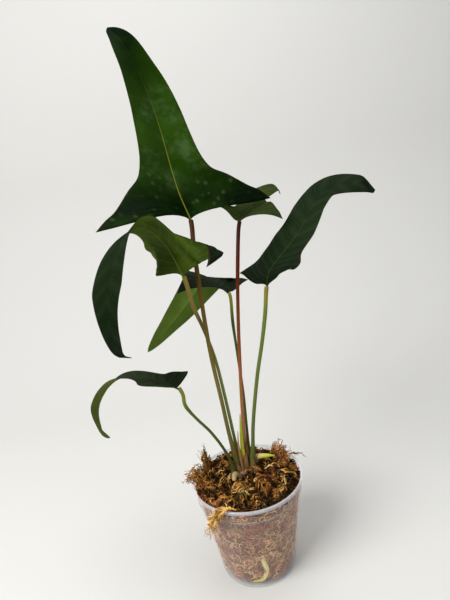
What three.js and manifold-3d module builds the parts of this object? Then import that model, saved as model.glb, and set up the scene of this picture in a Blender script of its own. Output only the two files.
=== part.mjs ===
// A potted anthurium with six trilobed leaves on long petioles, a short stem in
// dry sphagnum moss, and a clear plastic pot.
// Millimetres, +Z up. The origin is the middle of the pot's flat underside.
import * as THREE from 'three';
import { mergeVertices } from 'three/addons/utils/BufferGeometryUtils.js';
import Module from 'manifold-3d';

const wasm = await Module();
wasm.setup();

// Pot: a tapered round cup with a collar above a small step, and a rolled lip
const POT_HEIGHT = 108;
const RIM_RADIUS = 60;
const COLLAR_RADIUS = 58.4;
const STEP_RADIUS = 57;
const STEP_DROP = 16;
const STEP_LEDGE = 1.6;
const LIP_HEIGHT = 3.6;
const LIP_WIDTH = 2.4;
const LIP_ROUND = 0.8;
const BASE_RADIUS = 41.5;
const FOOT_ROUND = 2.6;
const WALL = 1.2;
const POT_SIDES = 40;
const DRAIN_HOLES = 8;
const DRAIN_RADIUS = 2.1;
const DRAIN_CIRCLE = 26;
const DRAIN_SIDES = 8;

// Moss: a mounded, lumpy filling, with strands that stand out of it
const MOSS_GAP = 0.4;
const MOSS_EDGE_LEVEL = 103.5;
const MOSS_MOUND = 6.5;
const MOSS_LUMP = 1.6;
const MOSS_RINGS = [0.92, 0.76, 0.58, 0.4, 0.22];
const MOSS_SEED = 7;
const COVER_STRANDS = 40;
const COVER_RADIUS = 50;
const GOLDEN_ANGLE = 180 * (3 - Math.sqrt(5));
const STRAND_RADIUS = 1.2;
const STRAND_STEPS = 4;
const STRAND_LENGTH = [11, 19];
const STRAND_RISE = [2.5, 5.5];
const ROOT_DEPTH = 3;

// Tufts in degrees round the pot: middle and spread, how far the strands sway
// round it, how far in mm each strays, and their common path as
// [distance from the middle, height]
const TUFTS = [
  {
    at: 167, spread: 26, sway: 4, stray: 3, count: 7,
    path: [[45, 101], [51, 108], [57, 112], [63, 113], [70, 110]],
  },
  { at: 150, spread: 16, sway: -4, stray: 9, count: 6, path: [[44, 101], [48, 110], [51, 118], [53, 127]] },
  { at: 30, spread: 30, sway: 4, stray: 12, count: 8, path: [[38, 101], [43, 109], [47, 115], [50, 120]] },
  {
    at: 26, spread: 1, sway: -16, stray: 1, count: 1,
    path: [[48, 102], [56, 112], [62, 112], [68, 111], [74, 109]],
  },
  {
    at: 234, spread: 17, sway: 4, stray: 3, count: 5,
    path: [[48, 102], [55, 111], [60, 112], [64, 107], [64, 97], [63, 88]],
  },
];

// Stem: a short crown, mostly buried, that the petioles and roots sit in
const STEM_CENTRE = [-2, 9];
const STEM_PROFILE = [[5, 80], [9, 88], [13, 97], [13.5, 103], [10, 109], [6, 112.5]];
const STEM_ROUND = 1.5;
const STEM_SIDES = 12;
const SOCKET_GAP = 0.35;

// Leaves: every blade has one flat outline, given for its right half as shares of
// the blade's length: [out from the midrib, along it, where the row leaves the midrib]
const OUTLINE = [
  [0.420, 0.035, 0.000],
  [0.370, 0.080, 0.020],
  [0.320, 0.115, 0.045],
  [0.237, 0.190, 0.100],
  [0.175, 0.237, 0.160],
  [0.147, 0.304, 0.230],
  [0.128, 0.408, 0.335],
  [0.114, 0.525, 0.450],
  [0.098, 0.655, 0.580],
  [0.080, 0.760, 0.690],
  [0.060, 0.880, 0.820],
  [0.030, 0.965, 0.930],
  [0.000, 1.000, 1.000],
];

// Blade shares: how far the lower edge bows forward, the lowest part of the blade
// that the lobes move in, and where reach, sweep, droop and turn set in and are full,
// measured out from the midrib
const BASE_BOW = 0.025;
const BASE_SHARE = 0.35;
const REACH_SPAN = [0.15, 0.4];
const SWEEP_SPAN = [0.05, 0.42];
const DROOP_SPAN = [0.12, 0.42];
const TURN_SPAN = [0.12, 0.37];
const TURN_FADE = 0.1;
const VEIN_START = 0.05;
const WAVE_HEIGHT = 0.6;
const WAVE_TURNS = 3.2;
const RIPPLE_TURNS = 3;
const BLADE_ROWS = 18;
const BLADE_COLUMNS = [0, 0.06, 0.3, 0.55, 0.8, 1];
const BLADE_THICKNESS = 0.8;
const MIDRIB_DEPTH = 1.3;
const FRAME_STEPS = 48;
const PETIOLE_SIDES = 6;
const PETIOLE_STEPS = 20;
const JOINT_GAP = 0.35;
const TOP_GAP = 0.8;
const GENICULUM_LENGTH = 16;

// Each leaf: the midrib from the petiole's top to the tip, the direction of the
// blade's right side there, and degrees of twist along it. Pairs are left, right:
// fold lifts a half towards the upper face at base, middle and tip, curl bends a
// lobe up, droop lets its end down, turn rolls it about its own vein, sweep moves
// it forward in mm, ripple waves its lower edge in mm, and reach and width scale
// the outline. The petiole's points run from the stem upwards, with its radius at
// the base, middle and top.
const LEAVES = {
  tall: {
    midrib: [[-18, 25, 383], [-28, 41, 420], [-40, 64, 499], [-59, 79, 562], [-75, 91, 586]],
    rightward: [0.94, 0.34, 0],
    twist: [-18, -5, -3, -3, 2],
    fold: [[14, 14, 16], [9, 13, 16]],
    curl: [-15, 5],
    droop: [0, 0],
    turn: [-15, 14],
    sweep: [-9, -4],
    reach: [1.05, 1.02],
    ripple: [0, 0],
    width: 1.03,
    petiole: [
      [-6, 7, 100], [-12, 6, 150], [-15, 6, 196], [-18, 4, 240],
      [-19, 2, 280], [-19, 5, 320], [-19, 14, 355],
    ],
    radius: [3.2, 2.1, 2.3],
    colour: 0x6f5a2c,
  },
  young: {
    midrib: [[32, 65, 372], [47, 80, 385], [54, 104, 394], [83, 129, 402], [90, 134, 393]],
    rightward: [-0.95, 0.3, 0.1],
    twist: [29, 7, -12, -23, -31],
    fold: [[-23, -9, -6], [-2, -1, 3]],
    curl: [71, -19],
    droop: [0, 0],
    turn: [-13, -10],
    sweep: [6, 17],
    reach: [1.11, 1],
    ripple: [0, 0],
    width: 1.07,
    petiole: [
      [1, 15, 103], [3, 17, 145], [6, 21, 184], [10, 29, 225],
      [14, 37, 262], [20, 47, 308], [26, 57, 345],
    ],
    radius: [2.6, 1.9, 2.1],
    colour: 0x6b2a17,
  },
  right: {
    midrib: [[47, 11, 308], [54, 19, 324], [87, 31, 354], [123, 49, 392], [159, 40, 395], [179, 58, 385]],
    rightward: [0.52, -0.85, 0],
    twist: [5, -4, -4, -6, -13, -22],
    fold: [[-12, 21, 0], [-8, 8, -19]],
    curl: [8, 83],
    droop: [6, -34],
    turn: [-73, -9],
    sweep: [14, -2],
    reach: [0.83, 0.72],
    ripple: [1, -0.5],
    width: 0.93,
    petiole: [
      [5, 9, 101], [10, 9, 130], [14, 10, 158], [20, 10, 189],
      [27, 10, 220], [35, 10, 250], [42, 10, 280],
    ],
    radius: [3.3, 2, 2.1],
    colour: 0x5d7230,
  },
  left: {
    midrib: [
      [-31, -10, 334], [-43, -10, 368], [-63, -15, 387], [-84, -30, 370],
      [-95, -59, 326], [-93, -65, 289], [-83, -61, 280],
    ],
    rightward: [-0.42, 0.91, 0],
    twist: [-51, -20, -10, 4, 15, 11, 9],
    fold: [[-10, 5, 7], [8, 6, -2]],
    curl: [-67, 60],
    droop: [22, -2],
    turn: [-31, -22],
    sweep: [6, 5],
    reach: [1.09, 0.84],
    ripple: [5.5, 5],
    width: 1.16,
    petiole: [[-5, 14, 102], [-8, 12, 150], [-11, 11, 197], [-15, 10, 241], [-22, 8, 276], [-28, 0, 303]],
    radius: [2.5, 1.7, 2.1],
    colour: 0x6a6a34,
  },
  behind: {
    midrib: [
      [10, 70, 294], [-12, 92, 312], [-21, 107, 303],
      [-52, 111, 270], [-81, 109, 244], [-100, 101, 228],
    ],
    rightward: [0.866, 0.5, 0],
    twist: [-33, -27, -24, -20, -10, 1],
    fold: [[10, 10, 8], [0, 2, 6]],
    curl: [-36, 17],
    droop: [0, 0],
    turn: [0, 6],
    sweep: [7, 15],
    reach: [1.04, 0.91],
    ripple: [0, 0],
    width: 1.02,
    petiole: [[5, 19, 103], [7, 25, 145], [9, 36, 185], [9, 47, 225], [9, 58, 262]],
    radius: [2, 1.5, 1.8],
    colour: 0x3f5a26,
  },
  low: {
    midrib: [
      [-51, -31, 232], [-73, -30, 245], [-109, -20, 247],
      [-134, -24, 224], [-132, -35, 204], [-126, -31, 192],
    ],
    rightward: [-0.34, 0.94, 0],
    twist: [-10, 0, 3, 0, 5, 13],
    fold: [[-4, 7, 2], [-6, 14, -1]],
    curl: [30, -13],
    droop: [-1, 26],
    turn: [-18, -18],
    sweep: [8, -12],
    reach: [0.81, 1.16],
    ripple: [0, 0],
    width: 1.0,
    petiole: [
      [-11, 2, 103], [-16, 0, 130], [-22, -6, 151],
      [-31, -11, 172], [-41, -18, 191], [-49, -25, 210],
    ],
    radius: [2.2, 1.5, 1.8],
    colour: 0x4a5f2a,
  },
};

// Small pieces that grow from the stem: path, radii along it, sides and steps
const SPROUTS = {
  new_shoot: {
    path: [[-1, 8, 105], [0, 8, 120], [-1, 8, 136], [0, 8, 152], [2, 8, 176]],
    radii: [2, 2, 1.8, 1.4, 0.7],
    sides: 6,
    steps: 12,
    colour: 0x93a13c,
  },
  dry_sheath: {
    path: [[-3, 3, 105], [-4.5, 3.5, 138], [-3, 4, 159]],
    radii: [1.4, 1.3, 0.6],
    sides: 6,
    steps: 6,
    colour: 0xb48a55,
  },
  aerial_root: {
    path: [[11, 15, 107], [11.5, 15, 114], [14, 13, 119], [20, 10.5, 121], [27, 9, 121.2], [33, 8, 121]],
    radii: [2.4, 2.7, 3, 2.6, 1.8, 0.7],
    sides: 6,
    steps: 10,
    colour: 0xc9c98a,
  },
  root_stub: {
    path: [[-5, -3, 104], [-10, -5, 112], [-13.5, -7, 114.5], [-14.5, -9.5, 111.5]],
    radii: [2.4, 3, 3.2, 2.6],
    sides: 6,
    steps: 5,
    colour: 0xe0d9b0,
  },
  wall_root: {
    path: [
      [3, 6, 88], [4, -8, 76], [5, -24, 62], [4, -36, 48],
      [4, -41, 34], [6, -39, 20], [1, -37.5, 8], [-9, -36, 5],
    ],
    radii: [2.6, 2.8, 2.8, 2.8, 2.8, 2.7, 2.4, 1.6],
    sides: 6,
    steps: 18,
    colour: 0xd8cf9a,
  },
};

// A closed body from points and triangles, with its faces turned outwards
function closedGeometry(points, triangles) {
  const position = new Float32Array(points.length * 3);
  points.forEach((point, i) => point.toArray(position, i * 3));
  const geometry = new THREE.BufferGeometry();
  geometry.setAttribute('position', new THREE.BufferAttribute(position, 3));
  geometry.setIndex(triangles.flat());
  return turnOutwards(mergeVertices(geometry, 1e-4));
}

function turnOutwards(geometry) {
  const position = geometry.attributes.position;
  const index = geometry.index.array;
  const [a, b, c] = [new THREE.Vector3(), new THREE.Vector3(), new THREE.Vector3()];
  const kept = [];
  let volume = 0;
  for (let i = 0; i < index.length; i += 3) {
    const corners = [index[i], index[i + 1], index[i + 2]];
    if (new Set(corners).size < 3) continue;
    a.fromBufferAttribute(position, corners[0]);
    b.fromBufferAttribute(position, corners[1]);
    c.fromBufferAttribute(position, corners[2]);
    volume += a.dot(b.cross(c));
    kept.push(corners);
  }
  const turned = volume < 0 ? kept.map(([p, q, r]) => [p, r, q]) : kept;
  geometry.setIndex(turned.flat());
  return geometry;
}

function bodyOf(geometry) {
  const bare = geometry.clone();
  bare.deleteAttribute('normal');
  bare.deleteAttribute('uv');
  const merged = turnOutwards(mergeVertices(bare, 1e-4));
  return new wasm.Manifold(new wasm.Mesh({
    numProp: 3,
    vertProperties: new Float32Array(merged.attributes.position.array),
    triVerts: new Uint32Array(merged.index.array),
  }));
}

function geometryOf(body) {
  const mesh = body.getMesh();
  const geometry = new THREE.BufferGeometry();
  geometry.setAttribute('position', new THREE.BufferAttribute(mesh.vertProperties, 3));
  geometry.setIndex(new THREE.BufferAttribute(mesh.triVerts, 1));
  return geometry;
}

// Cutting can leave a loose scrap, so only the largest body is kept
function largest(body) {
  return body.decompose().reduce((best, piece) => (piece.volume() > best.volume() ? piece : best));
}

function vectors(points) {
  return points.map((point) => new THREE.Vector3(...point));
}

function curveThrough(points) {
  return new THREE.CatmullRomCurve3(points, false, 'catmullrom', 0.5);
}

// The value at a share of the way along a list of evenly spaced values
function along(list, share) {
  const at = THREE.MathUtils.clamp(share, 0, 1) * (list.length - 1);
  const low = Math.min(Math.floor(at), list.length - 2);
  return THREE.MathUtils.lerp(list[low], list[low + 1], at - low);
}

function vectorAlong(list, share) {
  const at = THREE.MathUtils.clamp(share, 0, 1) * (list.length - 1);
  const low = Math.min(Math.floor(at), list.length - 2);
  return list[low].clone().lerp(list[low + 1], at - low);
}

// A round tube along a curve whose radius changes, closed at both ends
function taperedTube(points, radii, sides, steps, swell = 0) {
  const curve = curveThrough(points);
  const frames = curve.computeFrenetFrames(steps, false);
  const ringPoints = [];
  for (let i = 0; i <= steps; i++) {
    const centre = curve.getPointAt(i / steps);
    const radius = along(radii, i / steps) + swell;
    for (let j = 0; j < sides; j++) {
      const angle = (2 * Math.PI * j) / sides;
      ringPoints.push(centre.clone()
        .addScaledVector(frames.normals[i], radius * Math.cos(angle))
        .addScaledVector(frames.binormals[i], radius * Math.sin(angle)));
    }
  }
  return closedRings(ringPoints, sides, curve.getPointAt(0), curve.getPointAt(1));
}

// Joins rings of points into one skin and closes it at its first and last point
function closedRings(ringPoints, sides, first, last) {
  const points = [...ringPoints, first, last];
  const rings = ringPoints.length / sides;
  const triangles = [];
  for (let j = 0; j < sides; j++) {
    const next = (j + 1) % sides;
    for (let i = 0; i + 1 < rings; i++) {
      const [a, b] = [i * sides + j, i * sides + next];
      triangles.push([a, b, b + sides], [a, b + sides, a + sides]);
    }
    const end = (rings - 1) * sides;
    triangles.push([points.length - 2, next, j]);
    triangles.push([points.length - 1, end + j, end + next]);
  }
  return closedGeometry(points, triangles);
}

function lathe(profile, sides) {
  const geometry = new THREE.LatheGeometry(profile.map(([r, z]) => new THREE.Vector2(r, z)), sides);
  return geometry.rotateX(Math.PI / 2);
}

// The pot's inner wall, from the floor up: [radius, height]
const POT_INSIDE = [
  [BASE_RADIUS - FOOT_ROUND - WALL / 2, WALL],
  [BASE_RADIUS - WALL, FOOT_ROUND + WALL],
  [STEP_RADIUS - STEP_LEDGE - WALL, POT_HEIGHT - STEP_DROP],
  [STEP_RADIUS - WALL, POT_HEIGHT - STEP_DROP + STEP_LEDGE],
  [COLLAR_RADIUS - WALL, POT_HEIGHT - LIP_HEIGHT],
  [RIM_RADIUS - LIP_WIDTH, POT_HEIGHT],
];

function pot() {
  const outside = [
    [0, 0],
    [BASE_RADIUS - FOOT_ROUND, 0],
    [BASE_RADIUS - FOOT_ROUND * 0.3, FOOT_ROUND * 0.3],
    [BASE_RADIUS, FOOT_ROUND],
    [STEP_RADIUS - STEP_LEDGE, POT_HEIGHT - STEP_DROP - STEP_LEDGE / 2],
    [STEP_RADIUS, POT_HEIGHT - STEP_DROP],
    [COLLAR_RADIUS, POT_HEIGHT - LIP_HEIGHT],
    [RIM_RADIUS, POT_HEIGHT - LIP_HEIGHT + LIP_ROUND / 2],
    [RIM_RADIUS, POT_HEIGHT - LIP_ROUND],
    [RIM_RADIUS - LIP_ROUND, POT_HEIGHT],
  ];
  const inside = [...POT_INSIDE].reverse();
  let body = bodyOf(lathe([...outside, ...inside, [0, WALL]], POT_SIDES));
  for (let i = 0; i < DRAIN_HOLES; i++) {
    const angle = (2 * Math.PI * i) / DRAIN_HOLES;
    const hole = new THREE.CylinderGeometry(DRAIN_RADIUS, DRAIN_RADIUS, 4 * WALL, DRAIN_SIDES);
    hole.rotateX(Math.PI / 2);
    hole.translate(DRAIN_CIRCLE * Math.cos(angle), DRAIN_CIRCLE * Math.sin(angle), 0);
    body = body.subtract(bodyOf(hole));
  }
  return geometryOf(body);
}

function insideRadius(z) {
  const above = POT_INSIDE.findIndex(([, height]) => height >= z);
  const [r1, z1] = POT_INSIDE[Math.max(above, 1)];
  const [r0, z0] = POT_INSIDE[Math.max(above, 1) - 1];
  return THREE.MathUtils.lerp(r0, r1, (z - z0) / (z1 - z0));
}

// Directions and places along a blade's midrib
function bladeFrames(leaf) {
  const curve = curveThrough(vectors(leaf.midrib));
  const centres = curve.getSpacedPoints(FRAME_STEPS);
  const tangents = centres.map((_, i) => {
    const ahead = centres[Math.min(i + 1, FRAME_STEPS)];
    return ahead.clone().sub(centres[Math.max(i - 1, 0)]).normalize();
  });
  const rights = [];
  const uppers = [];
  let carried = new THREE.Vector3(...leaf.rightward);
  tangents.forEach((tangent, i) => {
    carried = carried.clone().addScaledVector(tangent, -carried.dot(tangent)).normalize();
    const angle = THREE.MathUtils.degToRad(along(leaf.twist, i / FRAME_STEPS));
    const right = carried.clone().applyAxisAngle(tangent, -angle);
    rights.push(right);
    uppers.push(right.clone().cross(tangent));
  });
  return { length: curve.getLength(), centres, tangents, rights, uppers };
}

// A point of a blade's half: row 0 is the lobe's lower edge and row 1 the tip,
// out is 0 on the midrib and 1 on the edge
function bladePoint(leaf, frames, side, row, out) {
  const { length } = frames;
  const half = side < 0 ? 0 : 1;
  const [across, forward, start] = vectorAlong(vectors(OUTLINE), row).toArray();
  const lobe = THREE.MathUtils.smoothstep(across, ...REACH_SPAN);
  const u = across * leaf.width * (1 + (leaf.reach[half] - 1) * lobe) * length * out;
  const bow = BASE_BOW * Math.max(1 - row / BASE_SHARE, 0) * Math.sin(Math.PI * Math.sqrt(out));
  const sweep = leaf.sweep[half] * THREE.MathUtils.smoothstep(u / length, ...SWEEP_SPAN);
  const v = length * (start * (1 - out) + forward * out + bow) + sweep;
  const share = v / length;
  const tangent = vectorAlong(frames.tangents, share);
  const right = vectorAlong(frames.rights, share);
  const upper = vectorAlong(frames.uppers, share);
  const nearBase = THREE.MathUtils.clamp(1 - share / BASE_SHARE, 0, 1);
  const dropShare = THREE.MathUtils.smoothstep(u / length, ...DROOP_SPAN);
  const drop = THREE.MathUtils.smoothstep(nearBase, 0, 0.5) * dropShare;
  const lift = along(leaf.fold[half], share) + leaf.curl[half] * nearBase * u / 100 + leaf.droop[half] * drop;
  const angle = THREE.MathUtils.degToRad(lift);
  const [rise, run] = [Math.sin(angle), side * Math.cos(angle)];
  const outward = right.clone().multiplyScalar(run).addScaledVector(upper, rise);
  const normal = right.clone().multiplyScalar(-side * rise).addScaledVector(upper, side * run);
  const turnShare = THREE.MathUtils.smoothstep(u / length, ...TURN_SPAN)
    * THREE.MathUtils.smoothstep(BASE_SHARE - share, 0, TURN_FADE);
  const turned = THREE.MathUtils.degToRad(leaf.turn[half]) * turnShare;
  const fromVein = v - VEIN_START * length;
  const waveAngle = 2 * Math.PI * WAVE_TURNS * row + half;
  const wave = WAVE_HEIGHT * out ** 2 * Math.sin(waveAngle) * Math.sin(Math.PI * row);
  const nearEdge = Math.max(1 - row / BASE_SHARE, 0) ** 2;
  const ripple = leaf.ripple[half] * nearEdge * Math.sin(RIPPLE_TURNS * Math.PI * out);
  return vectorAlong(frames.centres, share)
    .addScaledVector(tangent, v - THREE.MathUtils.clamp(v, 0, length))
    .addScaledVector(outward, u)
    .addScaledVector(tangent, fromVein * (Math.cos(turned) - 1))
    .addScaledVector(normal, fromVein * Math.sin(turned) + wave + ripple);
}

// The blade's middle surface as one grid, then thickened to a thin solid
function blade(leaf, swell = 0) {
  const frames = bladeFrames(leaf);
  const points = [];
  const onMidrib = [];
  const triangles = [];
  const columns = BLADE_COLUMNS.length;
  for (const side of [-1, 1]) {
    const first = points.length;
    for (let i = 0; i <= BLADE_ROWS; i++) {
      for (const out of BLADE_COLUMNS) {
        points.push(bladePoint(leaf, frames, side, i / BLADE_ROWS, out));
        onMidrib.push(out === 0 ? 1 - i / BLADE_ROWS : 0);
      }
    }
    for (let i = 0; i < BLADE_ROWS; i++) {
      for (let j = 0; j + 1 < columns; j++) {
        const a = first + i * columns + j;
        const [b, c, d] = [a + 1, a + columns + 1, a + columns];
        triangles.push(...(side > 0 ? [[a, b, c], [a, c, d]] : [[a, c, b], [a, d, c]]));
      }
    }
  }
  return thicken(points, triangles, onMidrib, swell);
}

// Offsets a surface to both sides and closes it round its edge. Both faces keep
// the same triangles, so they never cross.
function thicken(points, triangles, ribShare, swell) {
  const position = new Float32Array(points.length * 3);
  points.forEach((point, i) => point.toArray(position, i * 3));
  const surface = new THREE.BufferGeometry();
  surface.setAttribute('position', new THREE.BufferAttribute(position, 3));
  surface.setAttribute('rib', new THREE.BufferAttribute(new Float32Array(ribShare), 1));
  surface.setIndex(triangles.flat());
  const merged = mergeVertices(surface, 1e-3);
  const index = Array.from(merged.index.array);
  const faces = [];
  for (let i = 0; i < index.length; i += 3) {
    const face = index.slice(i, i + 3);
    if (new Set(face).size === 3) faces.push(face);
  }
  merged.setIndex(faces.flat());
  merged.computeVertexNormals();
  const count = merged.attributes.position.count;
  const solid = [];
  for (const face of [1, -1]) {
    for (let i = 0; i < count; i++) {
      const normal = new THREE.Vector3().fromBufferAttribute(merged.attributes.normal, i);
      const rib = face < 0 ? MIDRIB_DEPTH * merged.attributes.rib.getX(i) : 0;
      solid.push(new THREE.Vector3().fromBufferAttribute(merged.attributes.position, i)
        .addScaledVector(normal, face * (BLADE_THICKNESS / 2 + rib + swell)));
    }
  }
  const edges = new Map();
  for (const [a, b, c] of faces) {
    for (const [p, q] of [[a, b], [b, c], [c, a]]) {
      if (!edges.delete(`${q} ${p}`)) edges.set(`${p} ${q}`, [p, q]);
    }
  }
  const skin = faces.flatMap(([a, b, c]) => [[a, b, c], [a + count, c + count, b + count]]);
  for (const [p, q] of edges.values()) {
    skin.push([p, p + count, q + count], [p, q + count, q]);
  }
  return closedGeometry(solid, skin);
}

// A petiole's swollen joint turns towards the midrib, up to the blade's base
function petiole(leaf, swell = 0) {
  const { centres: [base], tangents: [forward] } = bladeFrames(leaf);
  const points = vectors(leaf.petiole);
  const rising = base.clone().sub(points[points.length - 1]).normalize();
  const heading = rising.multiplyScalar(5).add(forward).normalize();
  for (const below of [GENICULUM_LENGTH / 2, TOP_GAP]) {
    points.push(base.clone().addScaledVector(heading, -below));
  }
  const [low, middle, joint] = leaf.radius;
  const radii = [low, low, middle, middle, middle, middle, middle, middle, joint, joint * 0.9];
  return taperedTube(points, radii, PETIOLE_SIDES, PETIOLE_STEPS, swell);
}

// The petiole's top is cut to the blade's underside, a small gap below it
function fittedPetiole(leaf) {
  return geometryOf(cutBy(bodyOf(petiole(leaf)), [bodyOf(blade(leaf, JOINT_GAP))]));
}

function sprout({ path, radii, sides, steps }, swell = 0) {
  return taperedTube(vectors(path), radii, sides, steps, swell);
}

// The same random numbers every time
function randomFrom(seed) {
  let state = seed;
  return () => {
    state = (state * 1664525 + 1013904223) % 4294967296;
    return state / 4294967296;
  };
}

function polar(radius, degrees, z) {
  const angle = THREE.MathUtils.degToRad(degrees);
  return new THREE.Vector3(radius * Math.cos(angle), radius * Math.sin(angle), z);
}

function mossLevel(x, y) {
  const share = Math.min(Math.hypot(x, y) / COLLAR_RADIUS, 1);
  const lumps = Math.sin(x / 5 + 1) * Math.cos(y / 6) + 0.6 * Math.sin(x / 2.9 - y / 3.7);
  return MOSS_EDGE_LEVEL + MOSS_MOUND * (1 - share ** 2) + MOSS_LUMP * lumps;
}

// The filling follows the pot's inner wall, and its top is the lumpy mound
function mossFilling() {
  const rings = POT_INSIDE.slice(0, 4).map(([radius, z], i) => (
    (angle) => polar(radius - MOSS_GAP, angle, i === 0 ? z + MOSS_GAP : z)
  ));
  for (const share of [1, ...MOSS_RINGS]) {
    rings.push((angle) => {
      const edge = polar(COLLAR_RADIUS - WALL, angle, 0);
      const wall = insideRadius(mossLevel(edge.x, edge.y)) - MOSS_GAP;
      const { x, y } = polar(wall * share, angle, 0);
      return new THREE.Vector3(x, y, mossLevel(x, y));
    });
  }
  const angles = Array.from({ length: POT_SIDES }, (_, j) => (360 * j) / POT_SIDES);
  const points = rings.flatMap((ring) => angles.map(ring));
  const floor = new THREE.Vector3(0, 0, WALL + MOSS_GAP);
  return closedRings(points, POT_SIDES, floor, new THREE.Vector3(0, 0, mossLevel(0, 0)));
}

// A strand: a slim three-sided arch whose root is sunk into the filling
function strand(points) {
  return bodyOf(taperedTube(points, [STRAND_RADIUS, STRAND_RADIUS, STRAND_RADIUS / 2], 3, STRAND_STEPS));
}

function coverStrands(random) {
  const strands = [];
  for (let i = 0; i < COVER_STRANDS; i++) {
    const root = polar(COVER_RADIUS * Math.sqrt((i + 0.5) / COVER_STRANDS), i * GOLDEN_ANGLE, 0);
    const reach = THREE.MathUtils.lerp(...STRAND_LENGTH, random());
    const rise = THREE.MathUtils.lerp(...STRAND_RISE, random());
    const heading = polar(reach, 360 * random(), 0);
    if (root.clone().add(heading).length() > COVER_RADIUS) heading.negate();
    const path = [[0, -ROOT_DEPTH], [0.3, rise], [0.7, rise], [1, -0.2 * rise]].map(([share, height]) => {
      const point = root.clone().addScaledVector(heading, share);
      return point.setZ(mossLevel(point.x, point.y) + height);
    });
    strands.push(strand(path));
  }
  return strands;
}

function tuftStrands(random) {
  const strands = [];
  for (const { at, spread, sway, stray, count, path } of TUFTS) {
    for (let i = 0; i < count; i++) {
      const start = at + spread * ((i + 0.5) / count - 0.5);
      const aside = polar(stray * random(), 360 * random(), stray * random() * 0.4);
      strands.push(strand(path.map(([radius, z], step) => {
        const share = step / (path.length - 1);
        return polar(radius, start + sway * share, z).addScaledVector(aside, share ** 2);
      })));
    }
  }
  return strands;
}

function stemBody(swell = 0) {
  const [[, lowest], [, highest]] = [STEM_PROFILE[0], STEM_PROFILE[STEM_PROFILE.length - 1]];
  const [bottom, top] = [lowest - STEM_ROUND - swell, highest + STEM_ROUND + swell];
  const sides = STEM_PROFILE.map(([radius, z]) => [radius + swell, z]);
  const crown = lathe([[0, bottom], ...sides, [0, top]], STEM_SIDES).translate(...STEM_CENTRE, 0);
  return bodyOf(crown);
}

function cutBy(body, tools) {
  return largest(tools.reduce((rest, tool) => rest.subtract(tool), body));
}

const stalks = [
  ...Object.values(LEAVES).map((leaf) => bodyOf(petiole(leaf, SOCKET_GAP))),
  ...Object.values(SPROUTS).map((piece) => bodyOf(sprout(piece, SOCKET_GAP))),
];

function stem() {
  return geometryOf(cutBy(stemBody(), stalks));
}

function moss() {
  const random = randomFrom(MOSS_SEED);
  const strands = [...coverStrands(random), ...tuftStrands(random)];
  const filling = strands.reduce((whole, piece) => whole.add(piece), bodyOf(mossFilling()));
  return geometryOf(cutBy(filling, [stemBody(SOCKET_GAP), ...stalks]));
}

const plant = new THREE.Group();

function addPiece(name, geometry, colour, roughness, extra = {}) {
  geometry.computeVertexNormals();
  const material = new THREE.MeshStandardMaterial({ color: colour, roughness, metalness: 0, ...extra });
  const mesh = new THREE.Mesh(geometry, material);
  mesh.name = name;
  plant.add(mesh);
}

addPiece('pot', pot(), 0xdfe3e0, 0.25, { transparent: true, opacity: 0.35 });
addPiece('moss', moss(), 0xb0854a, 0.95);
addPiece('stem', stem(), 0x7a4a32, 0.8);
for (const [name, leaf] of Object.entries(LEAVES)) {
  addPiece(`blade_${name}`, blade(leaf), 0x1d3d16, 0.35);
  addPiece(`petiole_${name}`, fittedPetiole(leaf), leaf.colour, 0.5);
}
for (const [name, piece] of Object.entries(SPROUTS)) {
  addPiece(name, sprout(piece), piece.colour, 0.6);
}

export default plant;
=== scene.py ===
# %% [markdown]
# A potted anthurium in Blender.
#
# The plant has six three-lobed leaves on long stalks, a short buried stem, and a
# clear pot filled with dry sphagnum moss. The construction model gives every piece's
# place and size. This file makes the fine surfaces: blades with veins, stalks that
# change colour, thousands of curly moss strands, and a hazy clear pot.

# %% Load the frame
import math
import random

import bmesh
import bpy
import numpy as np
from mathutils import Matrix, Vector, noise


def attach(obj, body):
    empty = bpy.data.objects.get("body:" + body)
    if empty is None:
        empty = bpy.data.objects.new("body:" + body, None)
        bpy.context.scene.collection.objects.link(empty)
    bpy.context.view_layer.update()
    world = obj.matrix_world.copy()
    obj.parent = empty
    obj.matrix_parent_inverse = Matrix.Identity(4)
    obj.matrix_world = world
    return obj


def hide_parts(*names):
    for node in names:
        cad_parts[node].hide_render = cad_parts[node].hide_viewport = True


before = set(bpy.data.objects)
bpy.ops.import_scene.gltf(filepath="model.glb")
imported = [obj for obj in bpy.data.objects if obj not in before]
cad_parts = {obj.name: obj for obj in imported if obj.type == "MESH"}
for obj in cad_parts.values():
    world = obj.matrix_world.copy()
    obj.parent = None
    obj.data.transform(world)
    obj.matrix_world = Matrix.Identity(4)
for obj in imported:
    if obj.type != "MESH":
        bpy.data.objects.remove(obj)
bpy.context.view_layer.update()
print("nodes in the frame:", len(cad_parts))

# %% [markdown]
# Blender works in metres, but a plant is easier to describe in millimetres. So the
# sizes below are millimetres, and the one function that makes a mesh turns them into
# metres. Each piece's object stays at the origin, and its place is in its mesh.
#
# Most pieces could be modelled by hand from cylinders and planes. Here each one is a
# stack of rings or a grid of points that Numpy works out, because every leaf and
# stalk follows the same rule with other numbers.

# %% Make a mesh from points in millimetres
MM = 0.001
MERGE_DISTANCE = 0.02 * MM


def bare_mesh(name, points, faces=(), edges=(), values=None):
    """A mesh with no material. values are named numbers, one a point."""
    mesh = bpy.data.meshes.new(name)
    mesh.from_pydata([tuple(p) for p in np.asarray(points) * MM], edges, faces)
    for key, numbers in (values or {}).items():
        layer = mesh.attributes.new(key, "FLOAT", "POINT")
        layer.data.foreach_set("value", np.asarray(numbers, np.float32))
    return mesh


def place_object(name, data):
    made = bpy.data.objects.new(name, data)
    bpy.context.scene.collection.objects.link(made)
    return made


def place_piece(name, mesh):
    piece = place_object(name, mesh)
    return piece


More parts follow.
